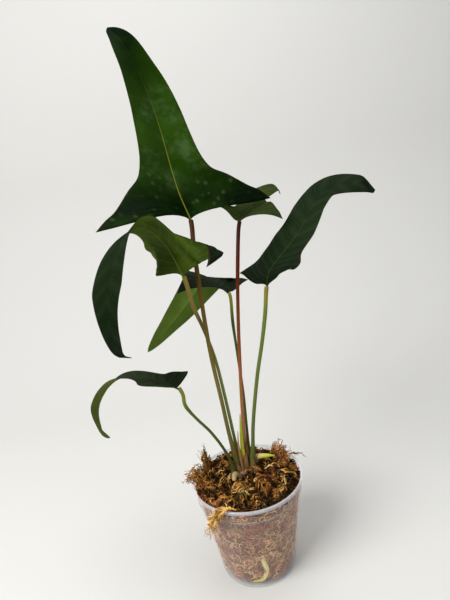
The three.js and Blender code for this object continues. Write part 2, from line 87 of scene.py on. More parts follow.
def make_piece(name, points, faces, finish, values=None, uv=None):
    """A smooth piece with a material, and a UV map where a place is given for each point."""
    mesh = bare_mesh(name, points, faces, values=values)
    if uv is not None:
        corners = np.empty(len(mesh.loops), np.int32)
        mesh.loops.foreach_get("vertex_index", corners)
        layer = mesh.uv_layers.new(name="UVMap")
        layer.data.foreach_set("uv", np.asarray(uv, np.float32)[corners].ravel())
    mesh.materials.append(finish)
    mesh.shade_smooth()
    mesh.validate()
    return place_piece(name, mesh)


def ring_faces(rings, sides, first=0):
    """Quads between closed rings of points that lie one after another."""
    faces = []
    for i in range(rings - 1):
        a = first + i * sides
        b = a + sides
        for j in range(sides):
            k = (j + 1) % sides
            faces.append((a + j, a + k, b + k, b + j))
    return faces


def merge_close(mesh):
    """Joins points that lie on each other, and turns all faces outwards."""
    edit = bmesh.new()
    edit.from_mesh(mesh)
    bmesh.ops.remove_doubles(edit, verts=edit.verts, dist=MERGE_DISTANCE)
    bmesh.ops.recalc_face_normals(edit, faces=edit.faces)
    edit.to_mesh(mesh)
    edit.free()


def evaluated_mesh(thing):
    """A plain mesh of what the object's modifiers make."""
    bpy.context.view_layer.update()
    evaluated = thing.evaluated_get(bpy.context.evaluated_depsgraph_get())
    return bpy.data.meshes.new_from_object(evaluated)


def seat(piece, *nodes):
    """The piece rides on the one body and stands for these nodes."""
    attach(piece, "root")
    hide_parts(*nodes)
    print(piece.name, "has", len(piece.data.polygons), "faces")


print("points closer than", MERGE_DISTANCE / MM, "mm are merged")

# %% [markdown]
# A shader mixes light, but a colour picked from a picture is a screen value from 0 to
# 255, which rises more slowly. Used as it is, every tone would come out washed out.
# One function turns the one into the other, so all tones below are screen values.

# %% Tones as light
def colour(red, green, blue):
    """A colour as seen on a screen, 0 to 255, as the light that it stands for."""
    seen = [channel / 255 for channel in (red, green, blue)]
    light = [c / 12.92 if c <= 0.04045 else ((c + 0.055) / 1.055) ** 2.4 for c in seen]
    return (*light, 1.0)


print("middle grey as light:", round(colour(128, 128, 128)[0], 3))

# %% [markdown]
# A material is a graph of nodes. Written out node by node it is hard to read, so a
# small class wraps a socket and lets plain arithmetic build the graph: `1 - mask * 2`
# adds two Math nodes. Any other node comes from one method of `Graph`. Geometry Nodes
# has the same Math node, so the moss strands further down use both classes too.

# %% Node maths as Python expressions
class Socket:
    """A node's output, with the operators that the graphs use."""

    def __init__(self, graph, output):
        self.graph = graph
        self.output = output

    def math(self, operation, *others):
        return self.graph.node("ShaderNodeMath", {"operation": operation}, [self, *others])

    def __add__(self, other):
        return self.math("ADD", other)

    def __mul__(self, other):
        return self.math("MULTIPLY", other)

    def __sub__(self, other):
        return self.math("SUBTRACT", other)

    def __rsub__(self, other):
        return self.graph.node("ShaderNodeMath", {"operation": "SUBTRACT"}, [other, self])

    def __truediv__(self, other):
        return self.math("DIVIDE", other)

    __radd__ = __add__
    __rmul__ = __mul__

    def beside(self, name):
        """Another output of the same node."""
        return Socket(self.graph, self.output.node.outputs[name])

    def clamp(self):
        return self.graph.node("ShaderNodeClamp", {}, [self])

    def ramp(self, low, high):
        """0 below low, 1 above high, and smooth in between."""
        settings = {"interpolation_type": "SMOOTHSTEP"}
        return self.graph.node("ShaderNodeMapRange", settings, [self, low, high])

    def band(self, low, high, end, gone):
        """Rises from low to high, and falls again from end to gone."""
        return self.ramp(low, high) * (1 - self.ramp(end, gone))

    def fold(self, count):
        """Goes up to 0.5 and back to 0, count times from 0 to 1."""
        return (self * count).math("PINGPONG", 0.5)

    def line(self, count, width):
        """Thin lines: near 1 where the value times count is whole, else 0."""
        return 1 - self.fold(count).ramp(0, width)


class Graph:
    """A tree of nodes."""

    def __init__(self, tree):
        self.tree = tree

    def node(self, kind, settings=None, values=(), output=0):
        """Sets a new node's settings, then feeds its sockets by name or number."""
        made = self.tree.nodes.new(kind)
        for key, value in (settings or {}).items():
            if key == "stops":
                self.set_stops(made.color_ramp, value)
            else:
                setattr(made, key, value)
        pairs = values.items() if isinstance(values, dict) else enumerate(values)
        for key, value in pairs:
            self.feed(made.inputs[key], value)
        return Socket(self, made.outputs[output])

    def feed(self, socket, value):
        if isinstance(value, Socket):
            self.tree.links.new(value.output, socket)
        else:
            socket.default_value = value

    def set_stops(self, ramp, stops):
        while len(ramp.elements) < len(stops):
            ramp.elements.new(0.5)
        for element, (place, tone) in zip(ramp.elements, stops):
            element.position = place
            element.color = colour(*tone)


print("a socket can:", ", ".join(name for name in vars(Socket) if name[0] != "_"))

# %% [markdown]
# Paints differ only in what they mix. `Paint` starts from Blender's own Principled
# shader and has a short name for each thing that this plant's finishes read: an
# attribute, a place, a height, a noise.

# %% Paint
class Paint(Graph):
    """The graph of one material."""

    def __init__(self, name):
        self.material = bpy.data.materials.new(name)
        self.material.use_nodes = True
        super().__init__(self.material.node_tree)
        self.shader = self.tree.nodes["Principled BSDF"]

    def attribute(self, name):
        return self.node("ShaderNodeAttribute", {"attribute_name": name}, output="Fac")

    def place(self):
        return self.node("ShaderNodeTexCoord", output="Object")

    def height(self):
        """The height over the ground in millimetres."""
        return self.node("ShaderNodeSeparateXYZ", {}, [self.place()], output="Z") / MM

    def noise(self, scale, detail=3, at=None, roughness=0.5):
        values = {"Vector": at or self.place(), "Scale": scale, "Detail": detail}
        return self.node("ShaderNodeTexNoise", {}, {**values, "Roughness": roughness})

    def mix(self, share, first, second):
        """A colour between two. Tones that are given as numbers are screen colours."""
        first, second = [c if isinstance(c, Socket) else colour(*c) for c in (first, second)]
        return self.node("ShaderNodeMix", {"data_type": "RGBA"}, {0: share, 6: first, 7: second}, 2)

    def shade(self, tone, value):
        return self.node("ShaderNodeHueSaturation", {}, {"Color": tone, "Value": value})

    def bump(self, height, strength, distance):
        values = {"Height": height, "Strength": strength, "Distance": distance * MM}
        return self.node("ShaderNodeBump", {}, values)

    def finish(self, **inputs):
        """Sets the surface's own sockets and returns the material."""
        for key, value in inputs.items():
            self.feed(self.shader.inputs[key.replace("_", " ")], value)
        return self.material


print("a paint can:", ", ".join(name for name in vars(Paint) if name[0] != "_"))

# %% [markdown]
# The camera stands where the photograph was taken from: at the height of the upper
# leaves, 43 cm in front of the pot, tilted down and rolled a little. The roll is why
# the pot leans in the picture while it stands upright in the model.
#
# Its lens and place could be guessed by eye. They were worked out instead from the
# pot's rim, step and base, which are round and so show as three known ellipses.

# %% Camera
CAMERA_PLACE = Vector((4, -430, 408)) * MM
CAMERA_DOWN = math.radians(13.6)
CAMERA_ROLL = math.radians(-8.4)
FOCAL_PIXELS = 451
PHOTO_HEIGHT = 600
SENSOR = 36

camera_data = bpy.data.cameras.new("photo_camera")
camera_data.sensor_fit = "VERTICAL"
camera_data.sensor_height = SENSOR
camera_data.lens = SENSOR * FOCAL_PIXELS / PHOTO_HEIGHT
camera = place_object("photo_camera", camera_data)
upright = Matrix.Rotation(math.pi / 2 - CAMERA_DOWN, 4, "X")
rolled = upright @ Matrix.Rotation(CAMERA_ROLL, 4, "Z")
camera.matrix_world = Matrix.Translation(CAMERA_PLACE) @ rolled
bpy.context.scene.camera = camera
print("lens", round(camera_data.lens, 2), "mm")

# %% [markdown]
# The studio is a pale floor that curves up into a pale wall behind the plant, with
# one large soft light from the upper left, weaker ones from the right and from above,
# and an even pale sky. One bright lamp would be simpler, but it leaves hard shadows,
# and the room of the photograph has none.

# %% Studio
FLOOR_FRONT = -1600
FLOOR_BACK = 900
FLOOR_SIDE = 2600
WALL_TOP = 2600
CURVE_RADIUS = 500
CURVE_STEPS = 16
STUDIO_TONE = (200, 199, 195)
# Place and target in millimetres, size in metres and power in watts
LIGHTS = {
    "window": ((-900, -700, 1300), (0, 0, 300), 0.9, 32),
    "fill": ((1100, -500, 900), (0, 0, 250), 1.2, 6),
    "top": ((100, 200, 1500), (0, 0, 300), 1.0, 8),
}
SKY_TONE = (0.9, 0.93, 1.0, 1)
SKY_STRENGTH = 0.29


def make_studio():
    profile = [(FLOOR_FRONT, 0), (FLOOR_BACK - CURVE_RADIUS, 0)]
    for i in range(1, CURVE_STEPS + 1):
        angle = math.pi / 2 * i / CURVE_STEPS
        y = FLOOR_BACK - CURVE_RADIUS + CURVE_RADIUS * math.sin(angle)
        profile.append((y, CURVE_RADIUS * (1 - math.cos(angle))))
    profile.append((FLOOR_BACK, WALL_TOP))
    points = [(x, y, z) for y, z in profile for x in (-FLOOR_SIDE, FLOOR_SIDE)]
    faces = [(2 * i, 2 * i + 1, 2 * i + 3, 2 * i + 2) for i in range(len(profile) - 1)]
    mesh = bare_mesh("studio", points, faces)
    mesh.shade_smooth()
    mesh.materials.append(Paint("studio paint").finish(Base_Color=colour(*STUDIO_TONE), Roughness=0.9))
    studio = place_object("studio", mesh)


def add_light(name, place, target, size, power):
    data = bpy.data.lights.new(name, "AREA")
    data.size = size
    data.energy = power
    light = place_object(name, data)
    light.location = Vector(place) * MM
    direction = (Vector(target) - Vector(place)).normalized()
    light.rotation_euler = direction.to_track_quat("-Z", "Y").to_euler()


make_studio()
for name, values in LIGHTS.items():
    add_light(name, *values)
world = bpy.data.worlds.new("sky")
world.use_nodes = True
sky = world.node_tree.nodes["Background"]
sky.inputs["Color"].default_value = SKY_TONE
sky.inputs["Strength"].default_value = SKY_STRENGTH
bpy.context.scene.world = world
bpy.context.scene.view_settings.view_transform = "Standard"
print("lights:", ", ".join(LIGHTS))

# %% [markdown]
# Each blade has the same flat outline: two long side lobes and a tapering middle
# lobe. A leaf of this kind is never flat, so the outline is laid on a bent midrib and
# each half is folded, curled and turned about its own vein. It could be sculpted, but
# the same rules made the construction model, so a blade drawn here with many more
# rows lies exactly on it.
#
# Rows of the grid run from the midrib to the edge along the veins, which lets the
# finish draw veins from one coordinate.

# %% Outline and leaves
# Right half of the blade as shares of its length: out from the midrib, along it, and
# where the row leaves the midrib
OUTLINE = [
    (0.420, 0.035, 0.000),
    (0.370, 0.080, 0.020),
    (0.320, 0.115, 0.045),
    (0.237, 0.190, 0.100),
    (0.175, 0.237, 0.160),
    (0.147, 0.304, 0.230),
    (0.128, 0.408, 0.335),
    (0.114, 0.525, 0.450),
    (0.098, 0.655, 0.580),
    (0.080, 0.760, 0.690),
    (0.060, 0.880, 0.820),
    (0.030, 0.965, 0.930),
    (0.000, 1.000, 1.000),
]

# The blades' numbers were found by programs that fitted each outline to the photograph, by least squares
# and, for three leaves, by a search. They were rounded, and three were then set one by one. The stalks'
# points and radii were placed one by one.
# Pairs are left, right. Places and widths are millimetres, turns are degrees.
#   midrib     points along the blade's middle, from the stalk to the tip
#   rightward  the direction of the blade's right side at its foot
#   twist      the blade's turn about its midrib, at even steps
#   fold       each half's lift, at even steps along it
#   curl       more lift towards the side lobe's end; droop, turn: its bend and turn
#   sweep      how far the side lobe is pushed along the blade; reach: its share of length
#   width      a share of the outline's; ripple: waves across the side lobe
#   petiole    points from the stem upwards; radius: at its foot, middle and joint
LEAVES = {
    "tall": dict(
        midrib=[(-18, 25, 383), (-28, 41, 420), (-40, 64, 499), (-59, 79, 562), (-75, 91, 586)],
        rightward=(0.94, 0.34, 0), twist=[-18, -5, -3, -3, 2],
        fold=[(14, 14, 16), (9, 13, 16)], curl=(-15, 5), droop=(0, 0), turn=(-15, 14),
        sweep=(-9, -4), reach=(1.05, 1.02), width=1.03, ripple=(0, 0),
        petiole=[(-6, 7, 100), (-12, 6, 150), (-15, 6, 196), (-18, 4, 240), (-19, 2, 280),
                 (-19, 5, 320), (-19, 14, 355)],
        radius=(3.2, 2.1, 2.3),
    ),
    "young": dict(
        midrib=[(32, 65, 372), (47, 80, 385), (54, 104, 394), (83, 129, 402), (90, 134, 393)],
        rightward=(-0.95, 0.3, 0.1), twist=[29, 7, -12, -23, -31],
        fold=[(-23, -9, -6), (-2, -1, 3)], curl=(71, -19), droop=(0, 0), turn=(-13, -10),
        sweep=(6, 17), reach=(1.11, 1), width=1.07, ripple=(0, 0),
        petiole=[(1, 15, 103), (3, 17, 145), (6, 21, 184), (10, 29, 225), (14, 37, 262),
                 (20, 47, 308), (26, 57, 345)],
        radius=(2.6, 1.9, 2.1),
    ),
    "right": dict(
        midrib=[(47, 11, 308), (54, 19, 324), (87, 31, 354), (123, 49, 392), (159, 40, 395),
                (179, 58, 385)],
        rightward=(0.52, -0.85, 0), twist=[5, -4, -4, -6, -13, -22],
        fold=[(-12, 21, 0), (-8, 8, -19)], curl=(8, 83), droop=(6, -34), turn=(-73, -9),
        sweep=(14, -2), reach=(0.83, 0.72), width=0.93, ripple=(1, -0.5),
        petiole=[(5, 9, 101), (10, 9, 130), (14, 10, 158), (20, 10, 189), (27, 10, 220),
                 (35, 10, 250), (42, 10, 280)],
        radius=(3.3, 2, 2.1),
    ),
    "left": dict(
        midrib=[(-31, -10, 334), (-43, -10, 368), (-63, -15, 387), (-84, -30, 370),
                (-95, -59, 326), (-93, -65, 289), (-83, -61, 280)],
        rightward=(-0.42, 0.91, 0), twist=[-51, -20, -10, 4, 15, 11, 9],
        fold=[(-10, 5, 7), (8, 6, -2)], curl=(-67, 60), droop=(22, -2), turn=(-31, -22),
        sweep=(6, 5), reach=(1.09, 0.84), width=1.16, ripple=(5.5, 5),
        petiole=[(-5, 14, 102), (-8, 12, 150), (-11, 11, 197), (-15, 10, 241), (-22, 8, 276),
                 (-28, 0, 303)],
        radius=(2.5, 1.7, 2.1),
    ),
    "behind": dict(
        midrib=[(10, 70, 294), (-12, 92, 312), (-21, 107, 303), (-52, 111, 270), (-81, 109, 244),
                (-100, 101, 228)],
        rightward=(0.866, 0.5, 0), twist=[-33, -27, -24, -20, -10, 1],
        fold=[(10, 10, 8), (0, 2, 6)], curl=(-36, 17), droop=(0, 0), turn=(0, 6),
        sweep=(7, 15), reach=(1.04, 0.91), width=1.02, ripple=(0, 0),
        petiole=[(5, 19, 103), (7, 25, 145), (9, 36, 185), (9, 47, 225), (9, 58, 262)],
        radius=(2, 1.5, 1.8),
    ),
    "low": dict(
        midrib=[(-51, -31, 232), (-73, -30, 245), (-109, -20, 247), (-134, -24, 224),
                (-132, -35, 204), (-126, -31, 192)],
        rightward=(-0.34, 0.94, 0), twist=[-10, 0, 3, 0, 5, 13],
        fold=[(-4, 7, 2), (-6, 14, -1)], curl=(30, -13), droop=(-1, 26), turn=(-18, -18),
        sweep=(8, -12), reach=(0.81, 1.16), width=1.0, ripple=(0, 0),
        petiole=[(-11, 2, 103), (-16, 0, 130), (-22, -6, 151), (-31, -11, 172), (-41, -18, 191),
                 (-49, -25, 210)],
        radius=(2.2, 1.5, 1.8),
    ),
}
print("leaves:", ", ".join(LEAVES))

# %% [markdown]
# A stalk or a midrib is a smooth line in space. Blender's own curves could carry it,
# but a blade has to know its place and direction at any share of the way. So each
# line is a smooth curve through its few points, cut into even steps in Numpy.

# %% Curves through points
CURVE_STEPS_EACH = 16


def smooth_step(values, low=0.0, high=1.0):
    share = np.clip((values - low) / (high - low), 0, 1)
    return share * share * (3 - 2 * share)


def curve_through(points, steps_each=CURVE_STEPS_EACH):
    """A smooth curve through all the points, as many short steps."""
    points = np.asarray(points, float)
    ends = [2 * points[0] - points[1], *points, 2 * points[-1] - points[-2]]
    share = np.linspace(0, 1, steps_each, endpoint=False)[:, None]
    pieces = []
    for p0, p1, p2, p3 in zip(ends, ends[1:], ends[2:], ends[3:]):
        bend = (-p0 + p2) * share + (2 * p0 - 5 * p1 + 4 * p2 - p3) * share**2
        bend += (-p0 + 3 * p1 - 3 * p2 + p3) * share**3
        pieces.append(p1 + bend / 2)
    return np.vstack([*pieces, points[-1:]])


def along(stops, shares):
    """The values at shares of the way along evenly spaced stops."""
    stops = np.asarray(stops, float)
    places = np.linspace(0, 1, len(stops))
    if stops.ndim == 1:
        return np.interp(shares, places, stops)
    return np.stack([np.interp(shares, places, column) for column in stops.T], -1)


def even_points(points, count):
    """Points the same distance apart along a curve, and its length."""
    curve = curve_through(points)
    walked = np.r_[0, np.cumsum(np.linalg.norm(np.diff(curve, axis=0), axis=1))]
    places = np.linspace(0, walked[-1], count)
    even = np.stack([np.interp(places, walked, column) for column in curve.T], -1)
    return even, walked[-1]


for name, leaf in LEAVES.items():
    print(name, "blade is", round(even_points(leaf["midrib"], 2)[1]), "mm long")

# %% [markdown]
# A leaf climbs from its stalk, arches over and hangs, and twists while it does so. A
# sideways direction taken from the curve's own bend would flip where the bend turns
# over. So one direction is chosen at the foot and carried along without twisting, and
# the leaf's own twist is added to it.

# %% Directions along a midrib
FRAME_STEPS = 48


def unit(vectors):
    return vectors / np.linalg.norm(vectors, axis=-1, keepdims=True)


def carried_frames(centres, first):
    """Tangents, and a sideways direction carried along them without twisting."""
    tangents = unit(np.gradient(centres, axis=0))
    sideways = []
    current = np.asarray(first, float)
    for tangent in tangents:
        current = unit(current - tangent * (current @ tangent))
        sideways.append(current)
    return tangents, np.array(sideways)


def blade_frames(leaf):
    """Length, then centres and directions: along the midrib, to the right, and up."""
    centres, length = even_points(leaf["midrib"], FRAME_STEPS + 1)
    tangents, sideways = carried_frames(centres, leaf["rightward"])
    upward = np.cross(sideways, tangents)
    angles = np.radians(along(leaf["twist"], np.linspace(0, 1, FRAME_STEPS + 1)))[:, None]
    rights = sideways * np.cos(angles) + upward * np.sin(angles)
    return length, centres, tangents, rights, np.cross(rights, tangents)


print("each midrib has", FRAME_STEPS, "steps")

# %% [markdown]
# Half a blade is a grid: rows leave the midrib and run to the edge, and columns run
# along. Each point starts on the flat outline. It then moves with the midrib's place
# and direction, is lifted by the half's fold and curl, and in the side lobe it also
# turns about the vein that the lobe hangs on.

# %% Half a blade
BLADE_ROWS = 90
BLADE_COLUMNS = np.array([
    0, 0.02, 0.045, 0.08, 0.13, 0.2, 0.28, 0.37, 0.47, 0.57, 0.67, 0.77, 0.86, 0.93, 0.975, 1])
BASE_BOW = 0.025
BASE_SHARE = 0.35
REACH_SPAN = (0.15, 0.4)
SWEEP_SPAN = (0.05, 0.42)
DROOP_SPAN = (0.12, 0.42)
TURN_SPAN = (0.12, 0.37)
TURN_FADE = 0.1
CURL_UNIT = 100
VEIN_START = 0.05
WAVE_HEIGHT = 0.6
WAVE_TURNS = 3.2
RIPPLE_TURNS = 3


def blade_half(leaf, side):
    """Points of one half, rows by columns, and how far each is from the midrib."""
    length, centres, tangents, rights, uppers = blade_frames(leaf)
    half = 0 if side < 0 else 1
    rows = np.linspace(0, 1, BLADE_ROWS + 1)
    across, forward, start = (column[:, None] for column in along(curve_through(OUTLINE), rows).T)
    row = rows[:, None]
    out = BLADE_COLUMNS[None]
    across = np.clip(across, 0, None)
    lobe = smooth_step(across, *REACH_SPAN)
    u = across * leaf["width"] * (1 + (leaf["reach"][half] - 1) * lobe) * length * out
    bow = BASE_BOW * np.clip(1 - row / BASE_SHARE, 0, 1) * np.sin(np.pi * np.sqrt(out))
    v = length * (start * (1 - out) + forward * out + bow)
    v = v + leaf["sweep"][half] * smooth_step(u / length, *SWEEP_SPAN)
    share = v / length
    place, tangent, right, upper = (along(line, share) for line in (centres, tangents, rights, uppers))
    near_base = np.clip(1 - share / BASE_SHARE, 0, 1)
    drop = smooth_step(near_base, 0, 0.5) * smooth_step(u / length, *DROOP_SPAN)
    lift = along(leaf["fold"][half], share) + leaf["curl"][half] * near_base * u / CURL_UNIT
    angle = np.radians(lift + leaf["droop"][half] * drop)[..., None]
    outward = side * right * np.cos(angle) + upper * np.sin(angle)
    normal = -side * right * np.sin(angle) + upper * np.cos(angle)
    in_lobe = smooth_step(u / length, *TURN_SPAN) * smooth_step(BASE_SHARE - share, 0, TURN_FADE)
    turned = np.radians(leaf["turn"][half]) * in_lobe
    from_vein = v - VEIN_START * length
    wave = np.sin(2 * np.pi * WAVE_TURNS * row + half) * np.sin(np.pi * row)
    near_edge = np.clip(1 - row / BASE_SHARE, 0, 1) ** 2
    ripple = leaf["ripple"][half] * near_edge * np.sin(RIPPLE_TURNS * np.pi * out)
    up = from_vein * np.sin(turned) + WAVE_HEIGHT * out**2 * wave + ripple
    beyond = v - np.clip(v, 0, length) + from_vein * (np.cos(turned) - 1)
    points = place + tangent * beyond[..., None] + outward * u[..., None] + normal * up[..., None]
    return points, u


print("a half has", BLADE_ROWS + 1, "rows of", len(BLADE_COLUMNS), "points")

# %% [markdown]
# A real blade is not a sheet of even thickness. The midrib stands out below and lies
# in a shallow groove above, the skin between the side veins is gently quilted, and
# the edge thins out. Solidify gives one thickness everywhere, so the upper and the
# lower sheet are worked out apart, each set off from the middle along the surface's
# own direction, and joined round the edge into one closed skin.

# %% Blade skin
BLADE_THICKNESS = 0.8
EDGE_THINNING = 0.6
RIB_DEPTH = 1.3
RIB_WIDTH = 1.5
GROOVE_DEPTH = 0.35
SIDE_VEINS = 15
QUILT_HEIGHT = 0.35


def grid_normals(points, side):
    normals = np.cross(np.gradient(points, axis=1), np.gradient(points, axis=0)) * side
    normals[-1] = normals[-2]
    return unit(normals)


def blade_faces():
    """Two upper sheets, two lower ones, and strips along their edges and bases."""
    columns = len(BLADE_COLUMNS)
    size = (BLADE_ROWS + 1) * columns
    faces = []
    for block, turned in enumerate((True, False, False, True)):
        for i in range(BLADE_ROWS):
            for j in range(columns - 1):
                a = block * size + i * columns + j
                quad = (a, a + 1, a + columns + 1, a + columns)
                faces.append(quad[::-1] if turned else quad)
    for half in (0, 1):
        top = half * size
        edge = [top + columns - 1 + i * columns for i in range(BLADE_ROWS + 1)]
        base = [top + j for j in reversed(range(columns))]
        for rim in (edge, base):
            for a, b in zip(rim, rim[1:]):
                quad = (a, b, b + 2 * size, a + 2 * size)
                faces.append(quad[::-1] if half else quad)
    return faces


def make_blade(name, leaf, finish):
    """Both halves as one closed skin, with the values that its finish reads."""
    above, below = [], []
    grids = {"row": [], "out": [], "aside": []}
    for side in (-1, 1):
        points, aside = blade_half(leaf, side)
        normals = grid_normals(points, side)
        rows = np.linspace(0, 1, BLADE_ROWS + 1)[:, None] + 0 * BLADE_COLUMNS
        outs = BLADE_COLUMNS[None] + 0 * rows
        rib = np.exp(-((aside / RIB_WIDTH) ** 2)) * (1 - rows)
        quilt = np.abs(np.sin(np.pi * SIDE_VEINS * rows)) * np.sin(np.pi * outs) * (1 - rows)
        half_thick = BLADE_THICKNESS / 2 * (1 - EDGE_THINNING * outs**6)
        up = half_thick + QUILT_HEIGHT * quilt - GROOVE_DEPTH * rib
        down = half_thick - QUILT_HEIGHT * quilt + RIB_DEPTH * rib
        above.append(points + normals * up[..., None])
        below.append(points - normals * down[..., None])
        for key, grid in (("row", rows), ("out", outs * side), ("aside", aside)):
            grids[key].append(grid.ravel())
    for left, right in (above, below):
        left[:, 0] = right[:, 0] = (left[:, 0] + right[:, 0]) / 2
    points = np.concatenate([sheet.reshape(-1, 3) for sheet in above + below])
    values = {key: np.concatenate(halves * 2) for key, halves in grids.items()}
    values["upper"] = np.repeat((1.0, 0.0), len(points) // 2)
    uv = np.stack([0.25 + 0.24 * values["out"] + 0.5 * values["upper"], values["row"]], -1)
    piece = make_piece(name, points, blade_faces(), finish, values, uv)
    merge_close(piece.data)
    return piece


print("a blade starts with", len(blade_faces()), "faces")

# %% [markdown]
# The upper side of a blade is very dark green with a soft sheen; the lower side is a
# lighter yellow green. Veins leave the midrib and run to the edge, and in the side
# lobes they fan out from the stalk. A painted picture would need a photograph of each
# leaf. Here the finish reads the grid's own coordinates as attributes, and draws a
# vein wherever a row number is whole, so one rule serves all six leaves.

# %% Leaf finish
EDGE_TONE = (40, 30, 12)
# The pale tone of the tall leaf's spots and of its painted sheen
BLOTCH_AND_SHEEN_TONE = (92, 116, 72)
SHEEN_TONE = (70, 80, 62)
# How often a pattern repeats in a metre
CLOUD_SCALE = 24
SPECK_SCALE = 260
DRIFT_SCALE = 60
SPOT_SCALE = 110.0
SHEEN_BLOOM_SCALE = 40


def blotch_and_sheen_mask(paint, row, cloud):
    """Small pale spots in the side lobes, and a painted grey sheen halfway along."""
    cells = paint.node("ShaderNodeTexVoronoi", {}, {"Vector": paint.place(), "Scale": SPOT_SCALE})
    spots = (1 - cells.ramp(0.1, 0.36)) * cloud.ramp(0.38, 0.6) * (1 - row.ramp(0.35, 0.55)) * 0.5
    blotches_and_sheen = paint.noise(SHEEN_BLOOM_SCALE, 4, roughness=0.7).ramp(0.45, 0.75)
    return spots + blotches_and_sheen * row.band(0.25, 0.45, 0.6, 0.8) * 0.75


def leaf_finish(name, upper, under, rib, rib_under, sheen=0.2, blotches_and_sheen=0.0):
    """upper and under are a dark and a light tone, the ribs a tone and its strength."""
    paint = Paint(name)
    row = paint.attribute("row")
    out = paint.attribute("out").math("ABSOLUTE")
    cloud = paint.noise(CLOUD_SCALE, 3)
    speck = paint.noise(SPECK_SCALE, 4, roughness=0.7) - 0.5
    drift = (paint.noise(DRIFT_SCALE, 2) - 0.5) * 0.03
    pleat = (row + drift).fold(SIDE_VEINS) * 2
    side_vein = (row + drift).line(SIDE_VEINS, 0.07) * out.ramp(0.0, 0.12) * (1 - row.ramp(0.7, 0.95))
    fine_vein = (row + drift * 2).line(SIDE_VEINS * 4, 0.2)
    midrib = 1 - (paint.attribute("aside") / (1.05 - row * 0.75)).ramp(0.55, 1.1)
    lit = row.band(0.15, 0.5, 0.6, 0.9) * 0.6 + cloud.ramp(0.4, 0.75) * 0.35 + speck * 0.25
    top = paint.mix(lit.clamp(), *upper)
    top = paint.mix(pleat * sheen * cloud, top, SHEEN_TONE)
    top = paint.mix((side_vein + fine_vein * 0.3) * sheen * 0.5, top, SHEEN_TONE)
    top = paint.mix(midrib * rib[1] * (1 - row.ramp(0.4, 0.8) * 0.95), top, rib[0])
    # The tall leaf gets pale spots and a painted grey sheen over the middle of its blade.
    if blotches_and_sheen:
        top = paint.mix(blotch_and_sheen_mask(paint, row, cloud) * blotches_and_sheen, top, BLOTCH_AND_SHEEN_TONE)
    low = paint.mix((cloud.ramp(0.3, 0.75) + speck * 0.3).clamp(), *under)
    low = paint.mix(side_vein * 0.4 + fine_vein * 0.1, low, rib_under[0])
    low = paint.mix(midrib * rib_under[1], low, rib_under[0])
    on_top = paint.attribute("upper").ramp(0.4, 0.6)
    skin = paint.mix(out.ramp(0.97, 0.995) * 0.75, paint.mix(on_top, low, top), EDGE_TONE)
    relief = pleat * 0.5 + side_vein * -0.25 + fine_vein * -0.1 + speck * 0.2
    shine = 0.52 - on_top * 0.1 + speck * 0.2
    return paint.finish(
        Base_Color=skin, Roughness=shine, Normal=paint.bump(relief, 0.5, 0.3),
        Specular_IOR_Level=0.0, Coat_Weight=0.045, Coat_Roughness=0.32)


print("side veins in each half:", SIDE_VEINS)

# %% [markdown]
# No two leaves are the same green. The tall one faces the window and is the deepest,
# the young one behind it is in shade, and three of them show their pale undersides.
# One finish with each leaf's own tones keeps the veins alike and the leaves apart.

# %% Blades
LEAF_TONES = {
    "tall": dict(upper=((1, 15, 0), (38, 66, 4)), under=((60, 82, 26), (84, 104, 40)),
                 rib=((112, 112, 36), 0.9), rib_under=((110, 116, 52), 0.6), sheen=0.05, blotches_and_sheen=0.4),
    "young": dict(upper=((8, 18, 3), (28, 40, 12)), under=((24, 36, 10), (50, 62, 26)),
                  rib=((80, 84, 40), 0.3), rib_under=((84, 92, 36), 0.4)),
    "right": dict(upper=((5, 16, 3), (18, 32, 12)), under=((84, 104, 52), (104, 120, 66)),
                  rib=((52, 66, 36), 0.5), rib_under=((120, 124, 70), 0.5)),
    "left": dict(upper=((6, 18, 4), (16, 30, 8)), under=((46, 64, 12), (78, 102, 26)),
                 rib=((40, 54, 26), 0.4), rib_under=((104, 112, 42), 0.75), sheen=0.16),
    "behind": dict(upper=((18, 26, 14), (38, 46, 30)), under=((72, 94, 32), (90, 114, 46)),
                   rib=((40, 54, 26), 0.4), rib_under=((84, 108, 32), 0.3), sheen=0.4),
    "low": dict(upper=((18, 30, 12), (34, 44, 24)), under=((88, 102, 42), (112, 124, 60)),
                rib=((44, 58, 30), 0.3), rib_under=((100, 110, 48), 0.4), sheen=0.3),
}
for name, leaf in LEAVES.items():
    finish = leaf_finish("leaf " + name, **LEAF_TONES[name])
    seat(make_blade("leaf_" + name, leaf, finish), "blade_" + name)

# %% [markdown]
# A stalk is a long tube that is thick at its foot, thin in the middle and swollen
# just under the blade, where it can turn the leaf to the light. A bevelled curve
# would do for the tube, but its ends are hard to close and its finish can't tell how
# far up it is. So a ring is carried along the path, and each point keeps its share of
# the way as a value.

# %% Tubes along a path
TUBE_SIDES = 16
SIDE_SEED = (0.0, 1.0, 0.2)


